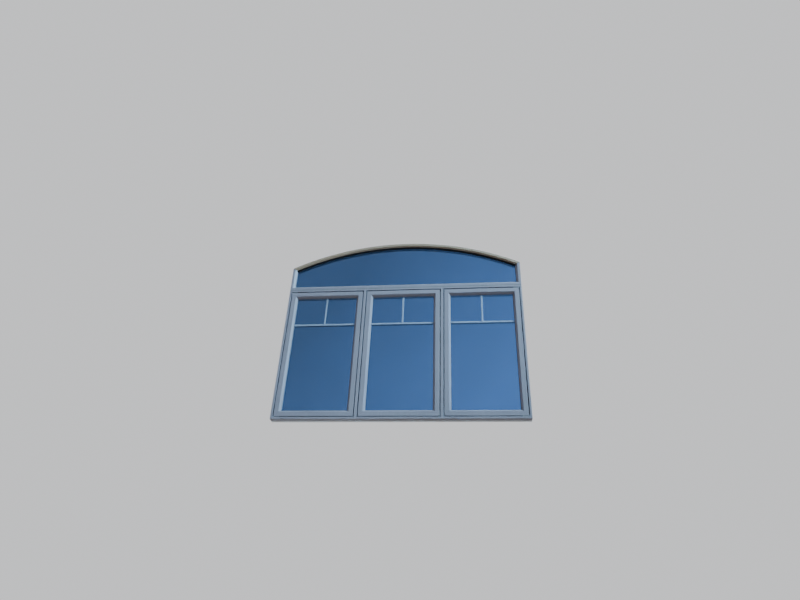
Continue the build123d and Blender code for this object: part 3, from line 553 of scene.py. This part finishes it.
@dataclass(frozen=True)
class Glazing(Finish):
    """Float glass with a painted sky reflection: a deep blue that lightens towards the right and the bottom.

    Args:
        cover: how much of what lies behind the pane its outdoor face hides.
        haze: the same for its room face and from inside the glass.
        deep, light: the painted reflection's colours at the upper left and at the lower right.
        start, run, fall: their blend at the origin, and its change along X and Z.
        cloud_scale, cloud_detail, cloud: scale, octaves and strength of slow clouds in the painted
            reflection.
        outdoor_tilt: the normal's Y below which a face is the outdoor one.
        roughness: its roughness.
        wave_scale, wave_detail, wave_depth, wave: the float glass's long waves.
    """

    cover: float
    haze: float = 0.10
    deep: Colour = (0.10, 0.205, 0.36)
    light: Colour = (0.20, 0.435, 0.81)
    start: float = 0.66
    run: float = 0.40
    fall: float = -0.26
    cloud_scale: float = 1.7
    cloud_detail: float = 2.0
    cloud: float = 0.25
    outdoor_tilt: float = -0.5
    roughness: float = 0.02
    wave_scale: float = 6.0
    wave_detail: float = 1.0
    wave_depth: float = 0.0001
    wave: float = 0.6

    def paint(self, coat: Coat) -> None:
        """Paints the sky reflection into its colour, and the long waves.

        Args:
            coat: the material's node tree.
        """
        # Painted reflection: a blue gradient with clouds stands for the sky mirrored in the glass.
        parts = coat.parts(coat.spot)
        run, fall = coat.times(parts[0], self.run), coat.times(parts[2], self.fall)
        lie = coat.math("ADD", coat.math("ADD", run, fall), self.start)
        clouds = coat.math("SUBTRACT", coat.noise(coat.spot, self.cloud_scale, self.cloud_detail), 0.5)
        blend = coat.math("ADD", lie, coat.times(clouds, self.cloud), clamp=True)
        coat.set("Base Color", coat.mix(blend, self.deep, self.light))
        coat.set("Metallic", 1.0)
        coat.set("Roughness", self.roughness)
        inside = coat.add("ShaderNodeNewGeometry").outputs["Backfacing"]
        room_face = coat.math("GREATER_THAN", coat.parts(coat.normal)[1], self.outdoor_tilt)
        shadow = coat.add("ShaderNodeLightPath").outputs["Is Shadow Ray"]
        clear = coat.math("MAXIMUM", coat.math("MAXIMUM", inside, room_face), shadow)
        coat.set("Alpha", coat.spread(clear, (0.0, 1.0), (self.cover, self.haze)))
        waves = coat.noise(coat.spot, self.wave_scale, self.wave_detail)
        coat.bump(waves, self.wave_depth, Strength=self.wave)


@dataclass(frozen=True)
class Moulded(Finish):
    """Rubber, foam or moulded plastic in one colour, lighter in clouds.

    Args:
        colour: its colour.
        roughness, swing: its middle roughness, and how far it varies.
        pebble, depth: scale and depth of its skin's pebble.
        edge: radius that its edges seem to have.
        shine: how strongly its skin reflects.
        fade, faded: how much lighter its clouds are, and how much of it they cover at most.
        cloud, clouds: scale of the clouds, and the noise where they start and are full.
    """

    colour: Colour
    roughness: float
    pebble: float = 700.0
    depth: float = 0.00005
    edge: float = 0.0005
    shine: float = 0.5
    swing: float = 0.2
    fade: float = 1.6
    faded: float = 0.6
    cloud: float = 12.0
    clouds: Range = (0.35, 0.75)

    def paint(self, coat: Coat) -> None:
        """Paints its skin.

        Args:
            coat: the material's node tree.
        """
        grain = coat.group(coat.effects.grain, Pebble=self.pebble, Cloud=self.cloud)
        coat.set("Specular IOR Level", self.shine)
        tone = coat.spread(grain["Tone"], self.clouds, (0.0, self.faded))
        coat.set("Base Color", self.skin(coat, tone))
        coat.uneven(grain["Height"], self.roughness, self.swing)
        coat.relief(grain["Height"], self.depth, self.edge)

    def skin(self, coat: Coat, tone: Socket) -> Socket:
        """Its colour, from plain to clouded."""
        clouded = tuple(min(1.0, value * self.fade) for value in self.colour)
        return coat.mix(tone, self.colour, clouded)


@dataclass(frozen=True)
class Metal(Finish):
    """Rolled, plated or stainless metal.

    Args:
        colour, dull: its colour, and the one where its plating has clouded.
        roughness, swing: its middle roughness, and how far it varies.
        stretch, depth: scale of its lines along each axis, and their depth.
        edge: radius that its edges seem to have.
        clouds, clouded: the plating's distance where clouds start and are full, and how full.
    """

    colour: Colour
    dull: Colour
    roughness: float
    stretch: Point = (20.0, 900.0, 900.0)
    swing: float = 0.25
    depth: float = 0.00002
    edge: float = 0.0004
    clouds: Range = (0.2, 0.8)
    clouded: float = 0.8

    def paint(self, coat: Coat) -> None:
        """Paints its plating and its lines.

        Args:
            coat: the material's node tree.
        """
        brushing = coat.group(coat.effects.brushing, Stretch=self.stretch)
        cloudy = coat.spread(brushing["Plating"], self.clouds, (0.0, self.clouded))
        coat.set("Base Color", coat.mix(cloudy, self.colour, self.dull))
        coat.set("Metallic", 1.0)
        coat.uneven(brushing["Lines"], self.roughness, self.swing)
        coat.relief(brushing["Lines"], self.depth, self.edge)


@dataclass(frozen=True)
class Enamel(Moulded):
    """Stoved enamel with a little orange peel, darker in clouds.

    Args:
        between_panes: whether it lies between panes and wears painted shade there: it is
            dark in mirrors, a painted reflection, and darkened on its low outdoor slopes.
        dark: the colour of that painted shade and reflection.
            under, under_share: the normal's Z where the painted shade on a low slope starts and is
            darkest, and how dark it gets.
        indoor_tilt: the normal's Y from which a slope faces the room and gets no painted shade.
    """

    roughness: float = 0.31
    pebble: float = 380.0
    depth: float = 0.00003
    edge: float = 0.0009
    swing: float = 0.14
    fade: float = 0.86
    faded: float = 1.0
    cloud: float = 25.0
    clouds: Range = (0.3, 0.7)
    between_panes: bool = False
    dark: Colour = (0.004, 0.005, 0.006)
    under: Range = (-0.2, -0.42)
    under_share: float = 0.9
    indoor_tilt: float = 0.5

    def skin(self, coat: Coat, tone: Socket) -> Socket:
        """The colour of the enamel, with painted shade and a painted dark reflection between panes.

        Args:
            coat: the material's node tree.
            tone: how clouded it is, from 0 to 1.

        Returns:
            The colour's socket.
        """
        skin = super().skin(coat, tone)
        if not self.between_panes:
            return skin
        # Painted reflection and painted shade: mirrored rays see the bar dark, and its low outdoor slopes are
        # darkened as if in shade.
        mirrored = coat.add("ShaderNodeLightPath").outputs["Is Glossy Ray"]
        tilt = coat.parts(coat.normal)
        outdoors = coat.math("LESS_THAN", tilt[1], self.indoor_tilt)
        low = coat.spread(tilt[2], self.under, (0.0, self.under_share))
        return coat.mix(coat.math("MAXIMUM", mirrored, coat.times(low, outdoors)), skin, self.dark)


TAUPE = (0.242, 0.214, 0.232)
# Painted shade and warm bounce light: the arched head wears a tan in place of the taupe vinyl, for the shade
# and brick-warmed light under the arch.
ARCH_PAINTED_SHADE = (0.330, 0.230, 0.145)
WHITE = (0.80, 0.79, 0.77)
STRIP = (0.16, 0.155, 0.15)
RUBBER = (0.004, 0.004, 0.005)
FOAM = (0.02, 0.02, 0.02)
SPACER_GREY = (0.28, 0.28, 0.29)
PACKER_BLUE = (0.08, 0.12, 0.22)
GRILLE_GREY = (0.42, 0.47, 0.55)
HANDLE_BEIGE = (0.56, 0.53, 0.49)
STAINLESS, STAINLESS_DULL = (0.60, 0.60, 0.60), (0.48, 0.48, 0.48)
PLATED, PLATED_DULL = (0.66, 0.65, 0.61), (0.50, 0.49, 0.45)
SCREW_STEEL, SCREW_DULL = (0.55, 0.55, 0.55), (0.42, 0.42, 0.42)
DRAWN_UPRIGHT = (900.0, 900.0, 20.0)
DRAWN_EVENLY = (500.0, 500.0, 500.0)
FRAME_WELDS = Welds(half_width=1.245, half_height=0.737, middle=CASEMENT_MIDDLE)
ARCH_WELDS = Welds(half_width=1.245, half_height=1.0, middle=2.482)
SASH_WELDS = Welds(half_width=0.39, half_height=0.708, middle=CASEMENT_MIDDLE, pitch=SASH_PITCH)


@dataclass
class Wardrobe:
    """Every finish of the window, and which nodes wear it.

    Args:
        effects: the shader groups that the finishes share.
        worn: the materials made so far, by their finishes' names.
    """

    effects: Effects
    worn: dict[str, Material] = field(default_factory=dict)

    def finishes(self) -> dict[Finish, tuple[str, ...]]:
        """The finishes with the endings or names of the nodes that wear them.

        Returns:
            Finish to node names, or to endings that start with an underscore.
        """
        return {
            Vinyl("casement_frame_vinyl", TAUPE, WHITE, split=0.012, welds=FRAME_WELDS): (
                "sill", "head", "left_jamb", "right_jamb", "left_mullion", "right_mullion"),
            Vinyl("sash_vinyl", TAUPE, WHITE, split=-0.006, welds=SASH_WELDS): ("_sash",),
            Vinyl("arched_frame_vinyl", TAUPE, WHITE, split=0.004, welds=ARCH_WELDS): (
                "transom_sill", "left_transom_jamb", "right_transom_jamb"),
            # Painted shade: this tan stands for shade and warm bounce light on the arched head.
            Vinyl("arched_head_vinyl", ARCH_PAINTED_SHADE, WHITE, split=0.004): ("arched_head",),
            Vinyl("coupling_vinyl", STRIP, WHITE, split=0.04): ("coupling_strip",),
            Vinyl("bead_vinyl", WHITE, WHITE, split=0.0, welds=SASH_WELDS, roughness=0.36): (
                "_beads", "transom_beads"),
            Glazing("outer_glass", cover=0.22): ("_outer_pane",),
            # Painted reflection and shade: the inner pane hides nearly all behind it, so its painted sky
            # reflection also stands for the dark room.
            Glazing("inner_glass", cover=0.97): ("_inner_pane",),
            Moulded("spacer_grey", SPACER_GREY, 0.5, pebble=300.0): ("_spacer",),
            # Painted shade: the grille bars are dark in mirrors and on their low outdoor slopes.
            Enamel("grille_enamel", GRILLE_GREY, between_panes=True): ("_grille",),
            Moulded("gasket_black", RUBBER, 0.55, pebble=900.0, shine=0.12): ("_gasket", "fixed_gaskets"),
            Moulded("foam_black", FOAM, 0.75, pebble=1600.0, depth=0.0001): ("weatherstrips",),
            Moulded("packer_plastic", PACKER_BLUE, 0.5): ("center_packers",),
            Metal("stainless_strip", STAINLESS, STAINLESS_DULL, 0.345): (
                "_hinge_leaves", "frame_hinge_leaves"),
            Metal("plated_steel", PLATED, PLATED_DULL, 0.385): (
                "_operator_track", "_operator_arm", "_keepers"),
            Metal("plated_bar", PLATED, PLATED_DULL, 0.385, DRAWN_UPRIGHT): ("_tie_bar",),
            Metal("screw_steel", SCREW_STEEL, SCREW_DULL, 0.305, DRAWN_EVENLY): (
                "_screws", "frame_screws"),
            Enamel("handle_enamel", HANDLE_BEIGE): (
                "_operator_housing", "_crank_handle", "_lock_case", "_lock_lever"),
        }

    def dress(self, nodes: dict[str, Object]) -> None:
        """Gives every node its finish.

        Args:
            nodes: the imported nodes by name.
        """
        bare = set(nodes)
        for finish, wearers in self.finishes().items():
            material = finish.make(self.effects)
            self.worn[finish.name] = material
            for name in sorted(bare):
                if any(name == wearer or (wearer[0] == "_" and name.endswith(wearer)) for wearer in wearers):
                    node = nodes[name]
                    if not node.material_slots:
                        node.data.materials.append(material)
                    for place in node.material_slots:
                        place.material = material
                    bare.discard(name)
                    LOG.info("%s wears %s", name, finish.name)
        if bare:
            raise ValueError(f"nodes without a finish: {sorted(bare)}")


@dataclass(frozen=True)
class ScrewSize:
    """Sizes of a countersunk screw, in metres.

    Args:
        head_radius, head_height: the head's.
        shank_radius: the shank's.
        length: the whole screw's.
        socket: width of the square recess.
    """

    head_radius: float
    head_height: float
    shank_radius: float
    length: float
    socket: float


class ScrewKind(Enum):
    """The two screws of the window."""

    HARDWARE = ScrewSize(0.0030, 0.0014, 0.0015, 0.014, 0.0020)
    MULLION = ScrewSize(0.0045, 0.0030, 0.0020, 0.060, 0.0030)


@dataclass
class Screws:
    """Countersunk screws with square sockets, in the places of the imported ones.

    Args:
        material: the steel they are made of.
        long_limit: length that tells a mullion's screw from the hardware's.
        sides: how many faces go round a screw.
        point_length: length of the point, in radii of the shank.
        head_end, neck, tip: radii under the head and at the two ends of the point, in the same.
        socket_depth: depth of the socket's cutter, in heights of the head.
        rim: how far out the head's vertices lie at least, in radii of the hardware's shank.
        merge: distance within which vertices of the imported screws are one.
    """

    material: Material
    long_limit: float = 0.03
    sides: int = 28
    point_length: float = 2.5
    head_end: float = 0.9
    neck: float = 0.97
    tip: float = 0.1
    socket_depth: float = 1.3
    rim: float = 1.2
    merge: float = 0.00001

    def tree(self) -> Tree:
        """The screw's tree: one screw on each point, turned to the point's axis.

        Returns:
            The geometry node tree.
        """
        tree = ShapeTree("Countersunk Screw", titled(ScrewKind.HARDWARE.value))
        radius, height, shank, length, socket = tree.sizes(
            "Head Radius", "Head Height", "Shank Radius", "Length", "Socket"
        )
        taper, head_end, neck, tip = (
            tree.times(shank, share)
            for share in (self.point_length, self.head_end, self.neck, self.tip)
        )
        half_head = tree.times(height, 0.5)
        rod_end = tree.math("SUBTRACT", length, taper)
        whole = tree.add("GeometryNodeMeshBoolean", operation="UNION", solver="EXACT")
        for low, wide, high, narrow in (
            (0.0, radius, height, head_end),
            (half_head, shank, rod_end, shank),
            (tree.math("SUBTRACT", rod_end, half_head), neck, length, tip),
        ):
            cone = {"Vertices": self.sides, "Radius Top": narrow, "Radius Bottom": wide,
                    "Depth": tree.math("SUBTRACT", high, low)}
            body = tree.add("GeometryNodeMeshCone", cone).outputs[0]
            tree.feed(whole.inputs[1], tree.moved(body, Translation=tree.vector(z=low)))
        cutter = tree.block(socket, socket, tree.times(height, self.socket_depth))
        cut = tree.add("GeometryNodeMeshBoolean", operation="DIFFERENCE", solver="EXACT")
        tree.feed(cut.inputs[0], whole.outputs[0])
        tree.feed(cut.inputs[1], cutter)
        axis = tree.add("GeometryNodeInputNamedAttribute", {"Name": "axis"}, data_type="FLOAT_VECTOR")
        turn = tree.add("FunctionNodeAlignRotationToVector", {"Vector": axis.outputs[0]}, axis="Z")
        return tree.stand(cut.outputs[0], Rotation=turn.outputs[0])

    def places(self, node: Object) -> dict[ScrewKind, list[tuple[Vector, Vector]]]:
        """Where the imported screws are.

        Args:
            node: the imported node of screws.

        Returns:
            For each kind, the middle of each head's face and the way the screw points.
        """
        shape = bmesh.new()
        shape.from_mesh(node.data)
        bmesh.ops.remove_doubles(shape, verts=shape.verts, dist=self.merge)
        found: dict[ScrewKind, list[tuple[Vector, Vector]]] = {kind: [] for kind in ScrewKind}
        reached: set[bmesh.types.BMVert] = set()
        for first in shape.verts:
            if first in reached:
                continue
            reached.add(first)
            island, edge = [], [first]
            while edge:
                vertex = edge.pop()
                island.append(vertex.co)
                for other in (link.other_vert(vertex) for link in vertex.link_edges):
                    if other not in reached:
                        reached.add(other)
                        edge.append(other)
            low = Vector(min(place[i] for place in island) for i in range(3))
            high = Vector(max(place[i] for place in island) for i in range(3))
            extent, middle = high - low, (low + high) / 2
            along = max(range(3), key=lambda i: extent[i])
            crowd = sum(place[along] - middle[along] for place in island if self.wide(place - middle, along))
            axis = Vector((0, 0, 0))
            axis[along] = -1.0 if crowd > 0 else 1.0
            kind = ScrewKind.MULLION if extent[along] > self.long_limit else ScrewKind.HARDWARE
            found[kind].append((middle - axis * extent[along] / 2, axis))
        shape.free()
        return found

    def wide(self, away: Vector, along: int) -> bool:
        """Whether a point this far from a screw's middle lies out at the rim of its head."""
        across = Vector(away[i] for i in range(3) if i != along)
        return across.length > self.rim * ScrewKind.HARDWARE.value.shank_radius

    def build(self, nodes: dict[str, Object]) -> None:
        """Makes one set of screws for each body.

        Args:
            nodes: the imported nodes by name.
        """
        tree = self.tree()
        for name, body in (
            ("frame_screws", "frame"),
            ("left_sash_screws", "left_light"),
            ("right_sash_screws", "right_light"),
        ):
            made = []
            for kind, places in self.places(nodes[name]).items():
                if places:
                    points = loose_points(f"{name}_places", (place for place, _ in places))
                    axes = points.attributes.new("axis", "FLOAT_VECTOR", "POINT")
                    for item, (_, axis) in zip(axes.data, places):
                        item.vector = axis
                    values = {**titled(kind.value), "Material": self.material}
                    made.append(grow(f"{name}_{kind.name.lower()}", points, tree, values))
            place_piece(f"{name}_set", made, self.material, body, "screw_steel", name)


@dataclass(frozen=True)
class SealSize:
    """Sizes of a bulb seal's loop, in metres.

    Args:
        width, height: size of the loop along its middle line.
        corner: radius of its corners.
        bulb_width, bulb_depth: size of the bulb.
        root_width, root_depth: size of the barbed root in the kerf.
        cut_back: how far the roots stop short of the corners.
    """

    width: float = 0.765
    height: float = 1.401
    corner: float = 0.012
    bulb_width: float = 0.006
    bulb_depth: float = 0.0027
    root_width: float = 0.003
    root_depth: float = 0.0035
    cut_back: float = 0.03


@dataclass
class BulbSeals:
    """Bulb seals pressed into the stops' kerfs, one loop round each opening.

    Args:
        material: the foam they are made of.
        size: the sizes of a loop.
        face: Y of the stops' face, where the bulbs stand.
        corner_steps: how many pieces a corner is bent in.
        bulb_sides: how many faces go round the bulb.
        root_parts: the root's stem and two barbs, each with its share of the root's width and
            its top and bottom in depths of the root.
    """

    material: Material
    size: SealSize = SealSize()
    face: float = 0.024
    corner_steps: int = 8
    bulb_sides: int = 16
    root_parts: tuple[Point, ...] = ((0.62, 0.2, -1.0), (1.0, -0.30, -0.45), (1.0, -0.72, -0.87))

    def tree(self) -> Tree:
        """The seal's tree: a bulb swept round a rectangle with a barbed root under each side.

        Returns:
            The geometry node tree.
        """
        tree = ShapeTree("Bulb Seal", titled(self.size))
        width, height, corner = tree.sizes("Width", "Height", "Corner")
        bulb_width, bulb_depth = tree.sizes("Bulb Width", "Bulb Depth")
        root_width, root_depth, cut_back = tree.sizes("Root Width", "Root Depth", "Cut Back")
        loop = tree.add("GeometryNodeCurvePrimitiveQuadrilateral", {"Width": width, "Height": height})
        bends = {"Curve": loop.outputs[0], "Count": self.corner_steps, "Radius": corner}
        bent = tree.add("GeometryNodeFilletCurve", bends, mode="POLY")
        level = tree.add("GeometryNodeSetCurveNormal", {"Curve": bent.outputs[0]}, mode="Z_UP")
        ring = tree.add("GeometryNodeCurvePrimitiveCircle", {"Resolution": self.bulb_sides, "Radius": 0.5})
        oval = tree.moved(ring.outputs[0], Scale=tree.vector(bulb_width, bulb_depth, 1.0))
        bulb = tree.add("GeometryNodeCurveToMesh", {"Curve": level.outputs[0], "Profile Curve": oval})
        rise = tree.times(bulb_depth, 0.5)
        whole = tree.add("GeometryNodeJoinGeometry")
        tree.feed(whole.inputs[0], tree.moved(bulb.outputs[0], Translation=tree.vector(z=rise)))
        both_ends = tree.times(cut_back, 2.0)
        tall, long = (tree.math("SUBTRACT", run, both_ends) for run in (height, width))
        for share, top, bottom in self.root_parts:
            thick = tree.times(root_width, share)
            deep = tree.times(root_depth, top - bottom)
            drop = tree.times(root_depth, (top + bottom) / 2)
            for side in (-0.5, 0.5):
                across = tree.vector(x=tree.times(width, side), z=drop)
                tree.feed(whole.inputs[0], tree.moved(tree.block(thick, tall, deep), Translation=across))
                upward = tree.vector(y=tree.times(height, side), z=drop)
                tree.feed(whole.inputs[0], tree.moved(tree.block(long, thick, deep), Translation=upward))
        return tree.stand(tree.moved(whole.outputs[0], Rotation=(pi / 2, 0.0, 0.0)))

    def build(self) -> None:
        """Makes the three loops as one piece."""
        places = [(side * SASH_PITCH, self.face, CASEMENT_MIDDLE) for side in (-1, 0, 1)]
        values = {**titled(self.size), "Material": self.material}
        mesh = grow("bulb_seal_loops", loose_points("seal_places", places), self.tree(), values)
        place_piece("bulb_seals", [mesh], self.material, "frame", "weatherstrip", "weatherstrips")


@dataclass(frozen=True)
class GrilleSize:
    """Sizes of a grille's bars, in metres.

    Args:
        bar_width: width of the bar across the light.
        upright_width: width of the upright above it.
        flat_width: width of the flat down a bar's middle.
        thickness, edge_thickness: thickness at the flat and at the two edges.
        step: how much thinner the upright is, so that its flats end under the other bar's.
    """

    bar_width: float = 0.026
    upright_width: float = 0.018
    flat_width: float = 0.014
    thickness: float = 0.008
    edge_thickness: float = 0.002
    step: float = 0.0003


@dataclass
class GrilleBars:
    """The contour bars between the panes: one across each light and an upright above it.

    Args:
        material: the enamel they wear.
        size: the sizes of the bars.
        packed_half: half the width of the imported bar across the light.
    """

    material: Material
    size: GrilleSize = GrilleSize()
    packed_half: float = 0.009

    def tree(self) -> Tree:
        """The grille's tree: two contour bars, joined where they meet.

        Returns:
            The geometry node tree.
        """
        tree = ShapeTree("Contour Grille", ("Run", "Rise", *titled(self.size)))
        run, rise, step = tree.sizes("Run", "Rise", "Step")
        flat, thickness, edge = tree.sizes("Flat Width", "Thickness", "Edge Thickness")
        level, upright = tree.sizes("Bar Width", "Upright Width")
        slabs = tree.add("GeometryNodeJoinGeometry")
        for wide, deep in ((flat, thickness), (level, edge)):
            tree.feed(slabs.inputs[0], tree.block(run, deep, wide))
        across = tree.add("GeometryNodeConvexHull", {0: slabs.outputs[0]})
        slabs = tree.add("GeometryNodeJoinGeometry")
        for wide, deep in ((flat, thickness), (upright, edge)):
            tree.feed(slabs.inputs[0], tree.block(wide, tree.math("SUBTRACT", deep, step), rise))
        standing = tree.add("GeometryNodeConvexHull", {0: slabs.outputs[0]})
        lift = tree.vector(z=tree.times(rise, 0.5))
        whole = tree.add("GeometryNodeMeshBoolean", operation="UNION", solver="EXACT")
        tree.feed(whole.inputs[1], across.outputs[0])
        tree.feed(whole.inputs[1], tree.moved(standing.outputs[0], Translation=lift))
        return tree.stand(whole.outputs[0])

    def build(self) -> None:
        """Makes one grille for each light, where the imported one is."""
        tree = self.tree()
        for node, body in (
            ("left_grille", "left_light"), ("center_grille", "frame"), ("right_grille", "right_light")
        ):
            low, high = (Vector(corner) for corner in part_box(node))
            place = (low + high) / 2
            place.z = low.z + self.packed_half
            values = {"Run": high.x - low.x, "Rise": high.z - place.z, **titled(self.size),
                      "Material": self.material}
            mesh = grow(f"{node}_contour", loose_points(f"{node}_place", [place]), tree, values)
            place_piece(f"{node}_bars", [mesh], self.material, body, "grille", node)


@dataclass(frozen=True)
class Lamp:
    """One soft square light.

    Args:
        name, place: its name, and where it hangs.
        size, power, colour: length of its side, its watts and its colour.
        spread: how wide its beam is, in degrees.
        mirrored: whether glass and vinyl mirror it.
    """

    name: str
    place: Point
    size: float
    power: float
    colour: Colour
    spread: float = 180.0
    mirrored: bool = False

    def hang(self, middle: Point) -> None:
        """Hangs it, turned to a point.

        Args:
            middle: the point that it faces.
        """
        data = bpy.data.lights.new(self.name, "AREA")
        data.energy, data.size, data.color = self.power, self.size, self.colour
        data.spread = radians(self.spread)
        light = new_object(self.name, data)
        light.location = self.place
        light.visible_glossy = self.mirrored
        light.rotation_euler = (Vector(middle) - Vector(self.place)).to_track_quat("-Z", "Y").to_euler()


@dataclass
class Studio:
    """Pale floor, soft light and the camera.

    Args:
        floor_height: Z of the floor, an eye's height below the camera.
        floor_radius, floor_sides: radius and sides of its disc.
        floor_colour, floor_roughness: its finish.
        glow_colour, glow: light it gives to the camera and to mirrors, so that it looks even.
        air_light, air_seen: colour of the surround as a light, and as the camera sees it.
        air_strength: how bright the camera sees it.
        high, high_mirrored: its strength high up as a light, and what mirrors see beyond that.
        low, low_mirrored: the same low down, as shares of the strength high up.
        horizon: where its low part ends and its high part starts.
        camera_place: where the camera stands.
        yaw, pitch, roll: how it is turned, in degrees.
        lens, sensor: its focal length and its sensor's width, in millimetres.
        middle: the point that the lights face.
        lamps: key from the right, fill from the left, a weak one from below and the room side's.
    """

    floor_height: float = -3.7
    floor_radius: float = 14.0
    floor_sides: int = 96
    floor_colour: Colour = (0.66, 0.62, 0.57)
    floor_roughness: float = 0.9
    glow_colour: Colour = (0.62, 0.62, 0.61)
    glow: float = 0.45
    air_light: Colour = (0.54, 0.71, 1.0)
    air_seen: Colour = (0.86, 0.87, 0.89)
    air_strength: float = 0.95
    high: float = 0.28
    high_mirrored: float = 0.34
    low: float = 0.12
    low_mirrored: float = 0.60
    horizon: Range = (-0.20, 0.45)
    camera_place: Point = (0.655, -5.393, -2.076)
    yaw: float = 7.31
    pitch: float = 32.21
    roll: float = 2.55
    lens: float = 27.10
    sensor: float = 36.0
    middle: Point = (0.0, 0.0, 1.0)
    lamps: tuple[Lamp, ...] = (
        Lamp("key_light", (7.0, -5.2, 6.0), 4.0, 226.0, (0.425, 0.72, 1.0), spread=40.0, mirrored=True),
        Lamp("fill_light", (-6.0, -6.0, 3.0), 4.0, 120.0, (0.90, 0.94, 1.0)),
        Lamp("low_light", (1.5, -5.0, -3.4), 3.0, 14.0, (1.0, 0.82, 0.62)),
        Lamp("room_light", (-5.5, 4.5, 6.0), 3.0, 640.0, (1.0, 0.97, 0.93)),
    )

    def floor(self) -> None:
        """A plain pale disc."""
        mesh = bpy.data.meshes.new("studio_floor")
        shape = bmesh.new()
        bmesh.ops.create_circle(shape, cap_ends=True, segments=self.floor_sides, radius=self.floor_radius)
        bmesh.ops.translate(shape, vec=(0, 0, self.floor_height), verts=shape.verts)
        shape.to_mesh(mesh)
        shape.free()
        disc = new_object("studio_floor", mesh)
        material = bpy.data.materials.new("studio_floor")
        material.use_nodes = True
        sheet = Sheet(material.node_tree)
        shader = material.node_tree.nodes["Principled BSDF"]
        path = sheet.add("ShaderNodeLightPath").outputs
        seen = sheet.math("MAXIMUM", path["Is Camera Ray"], path["Is Glossy Ray"])
        for title, value in (
            ("Base Color", self.floor_colour), ("Roughness", self.floor_roughness),
            ("Emission Color", self.glow_colour),
            ("Emission Strength", sheet.times(seen, self.glow)),
        ):
            sheet.feed(shader.inputs[title], value)
        mesh.materials.append(material)

    def air(self) -> None:
        """A plain pale surround, softer as a light than it looks."""
        world = bpy.data.worlds.new("studio_air")
        world.use_nodes = True
        sheet = Sheet(world.node_tree)
        background = world.node_tree.nodes["Background"]
        path = sheet.add("ShaderNodeLightPath").outputs
        camera, mirror = path["Is Camera Ray"], path["Is Glossy Ray"]
        height = sheet.parts(sheet.add("ShaderNodeTexCoord").outputs["Generated"])[2]
        low = sheet.math("ADD", sheet.times(mirror, self.low_mirrored), self.low)
        high = sheet.math("ADD", sheet.times(mirror, self.high_mirrored), self.high)
        lit = sheet.times(sheet.spread(height, self.horizon, (low, 1.0)), high)
        rest = sheet.times(camera, sheet.math("SUBTRACT", self.air_strength, lit))
        sheet.feed(background.inputs[0], sheet.mix(camera, self.air_light, self.air_seen))
        sheet.feed(background.inputs[1], sheet.math("ADD", lit, rest))
        bpy.context.scene.world = world

    def camera(self) -> None:
        """The camera, at the photograph's viewing angle."""
        data = bpy.data.cameras.new("view")
        data.lens, data.sensor_width = self.lens, self.sensor
        view = new_object("view", data)
        turn = (
            Matrix.Rotation(radians(self.yaw), 4, "Z")
            @ Matrix.Rotation(radians(90 + self.pitch), 4, "X")
            @ Matrix.Rotation(radians(self.roll), 4, "Z")
        )
        view.matrix_world = Matrix.Translation(self.camera_place) @ turn
        bpy.context.scene.camera = view

    def build(self) -> None:
        """Sets everything up."""
        self.floor()
        self.air()
        for lamp in self.lamps:
            lamp.hang(self.middle)
        self.camera()
        LOG.info("studio is set with %d lamps", len(self.lamps))


def main() -> None:
    """Dresses the window and sets the studio."""
    logging.basicConfig(level=logging.INFO, format="%(name)s: %(message)s")
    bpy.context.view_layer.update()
    Studio().build()
    wardrobe = Wardrobe(Effects())
    wardrobe.dress(frame["nodes"])
    Screws(wardrobe.worn["screw_steel"]).build(frame["nodes"])
    BulbSeals(wardrobe.worn["foam_black"]).build()
    GrilleBars(wardrobe.worn["grille_enamel"]).build()


if __name__ == "__main__":
    main()
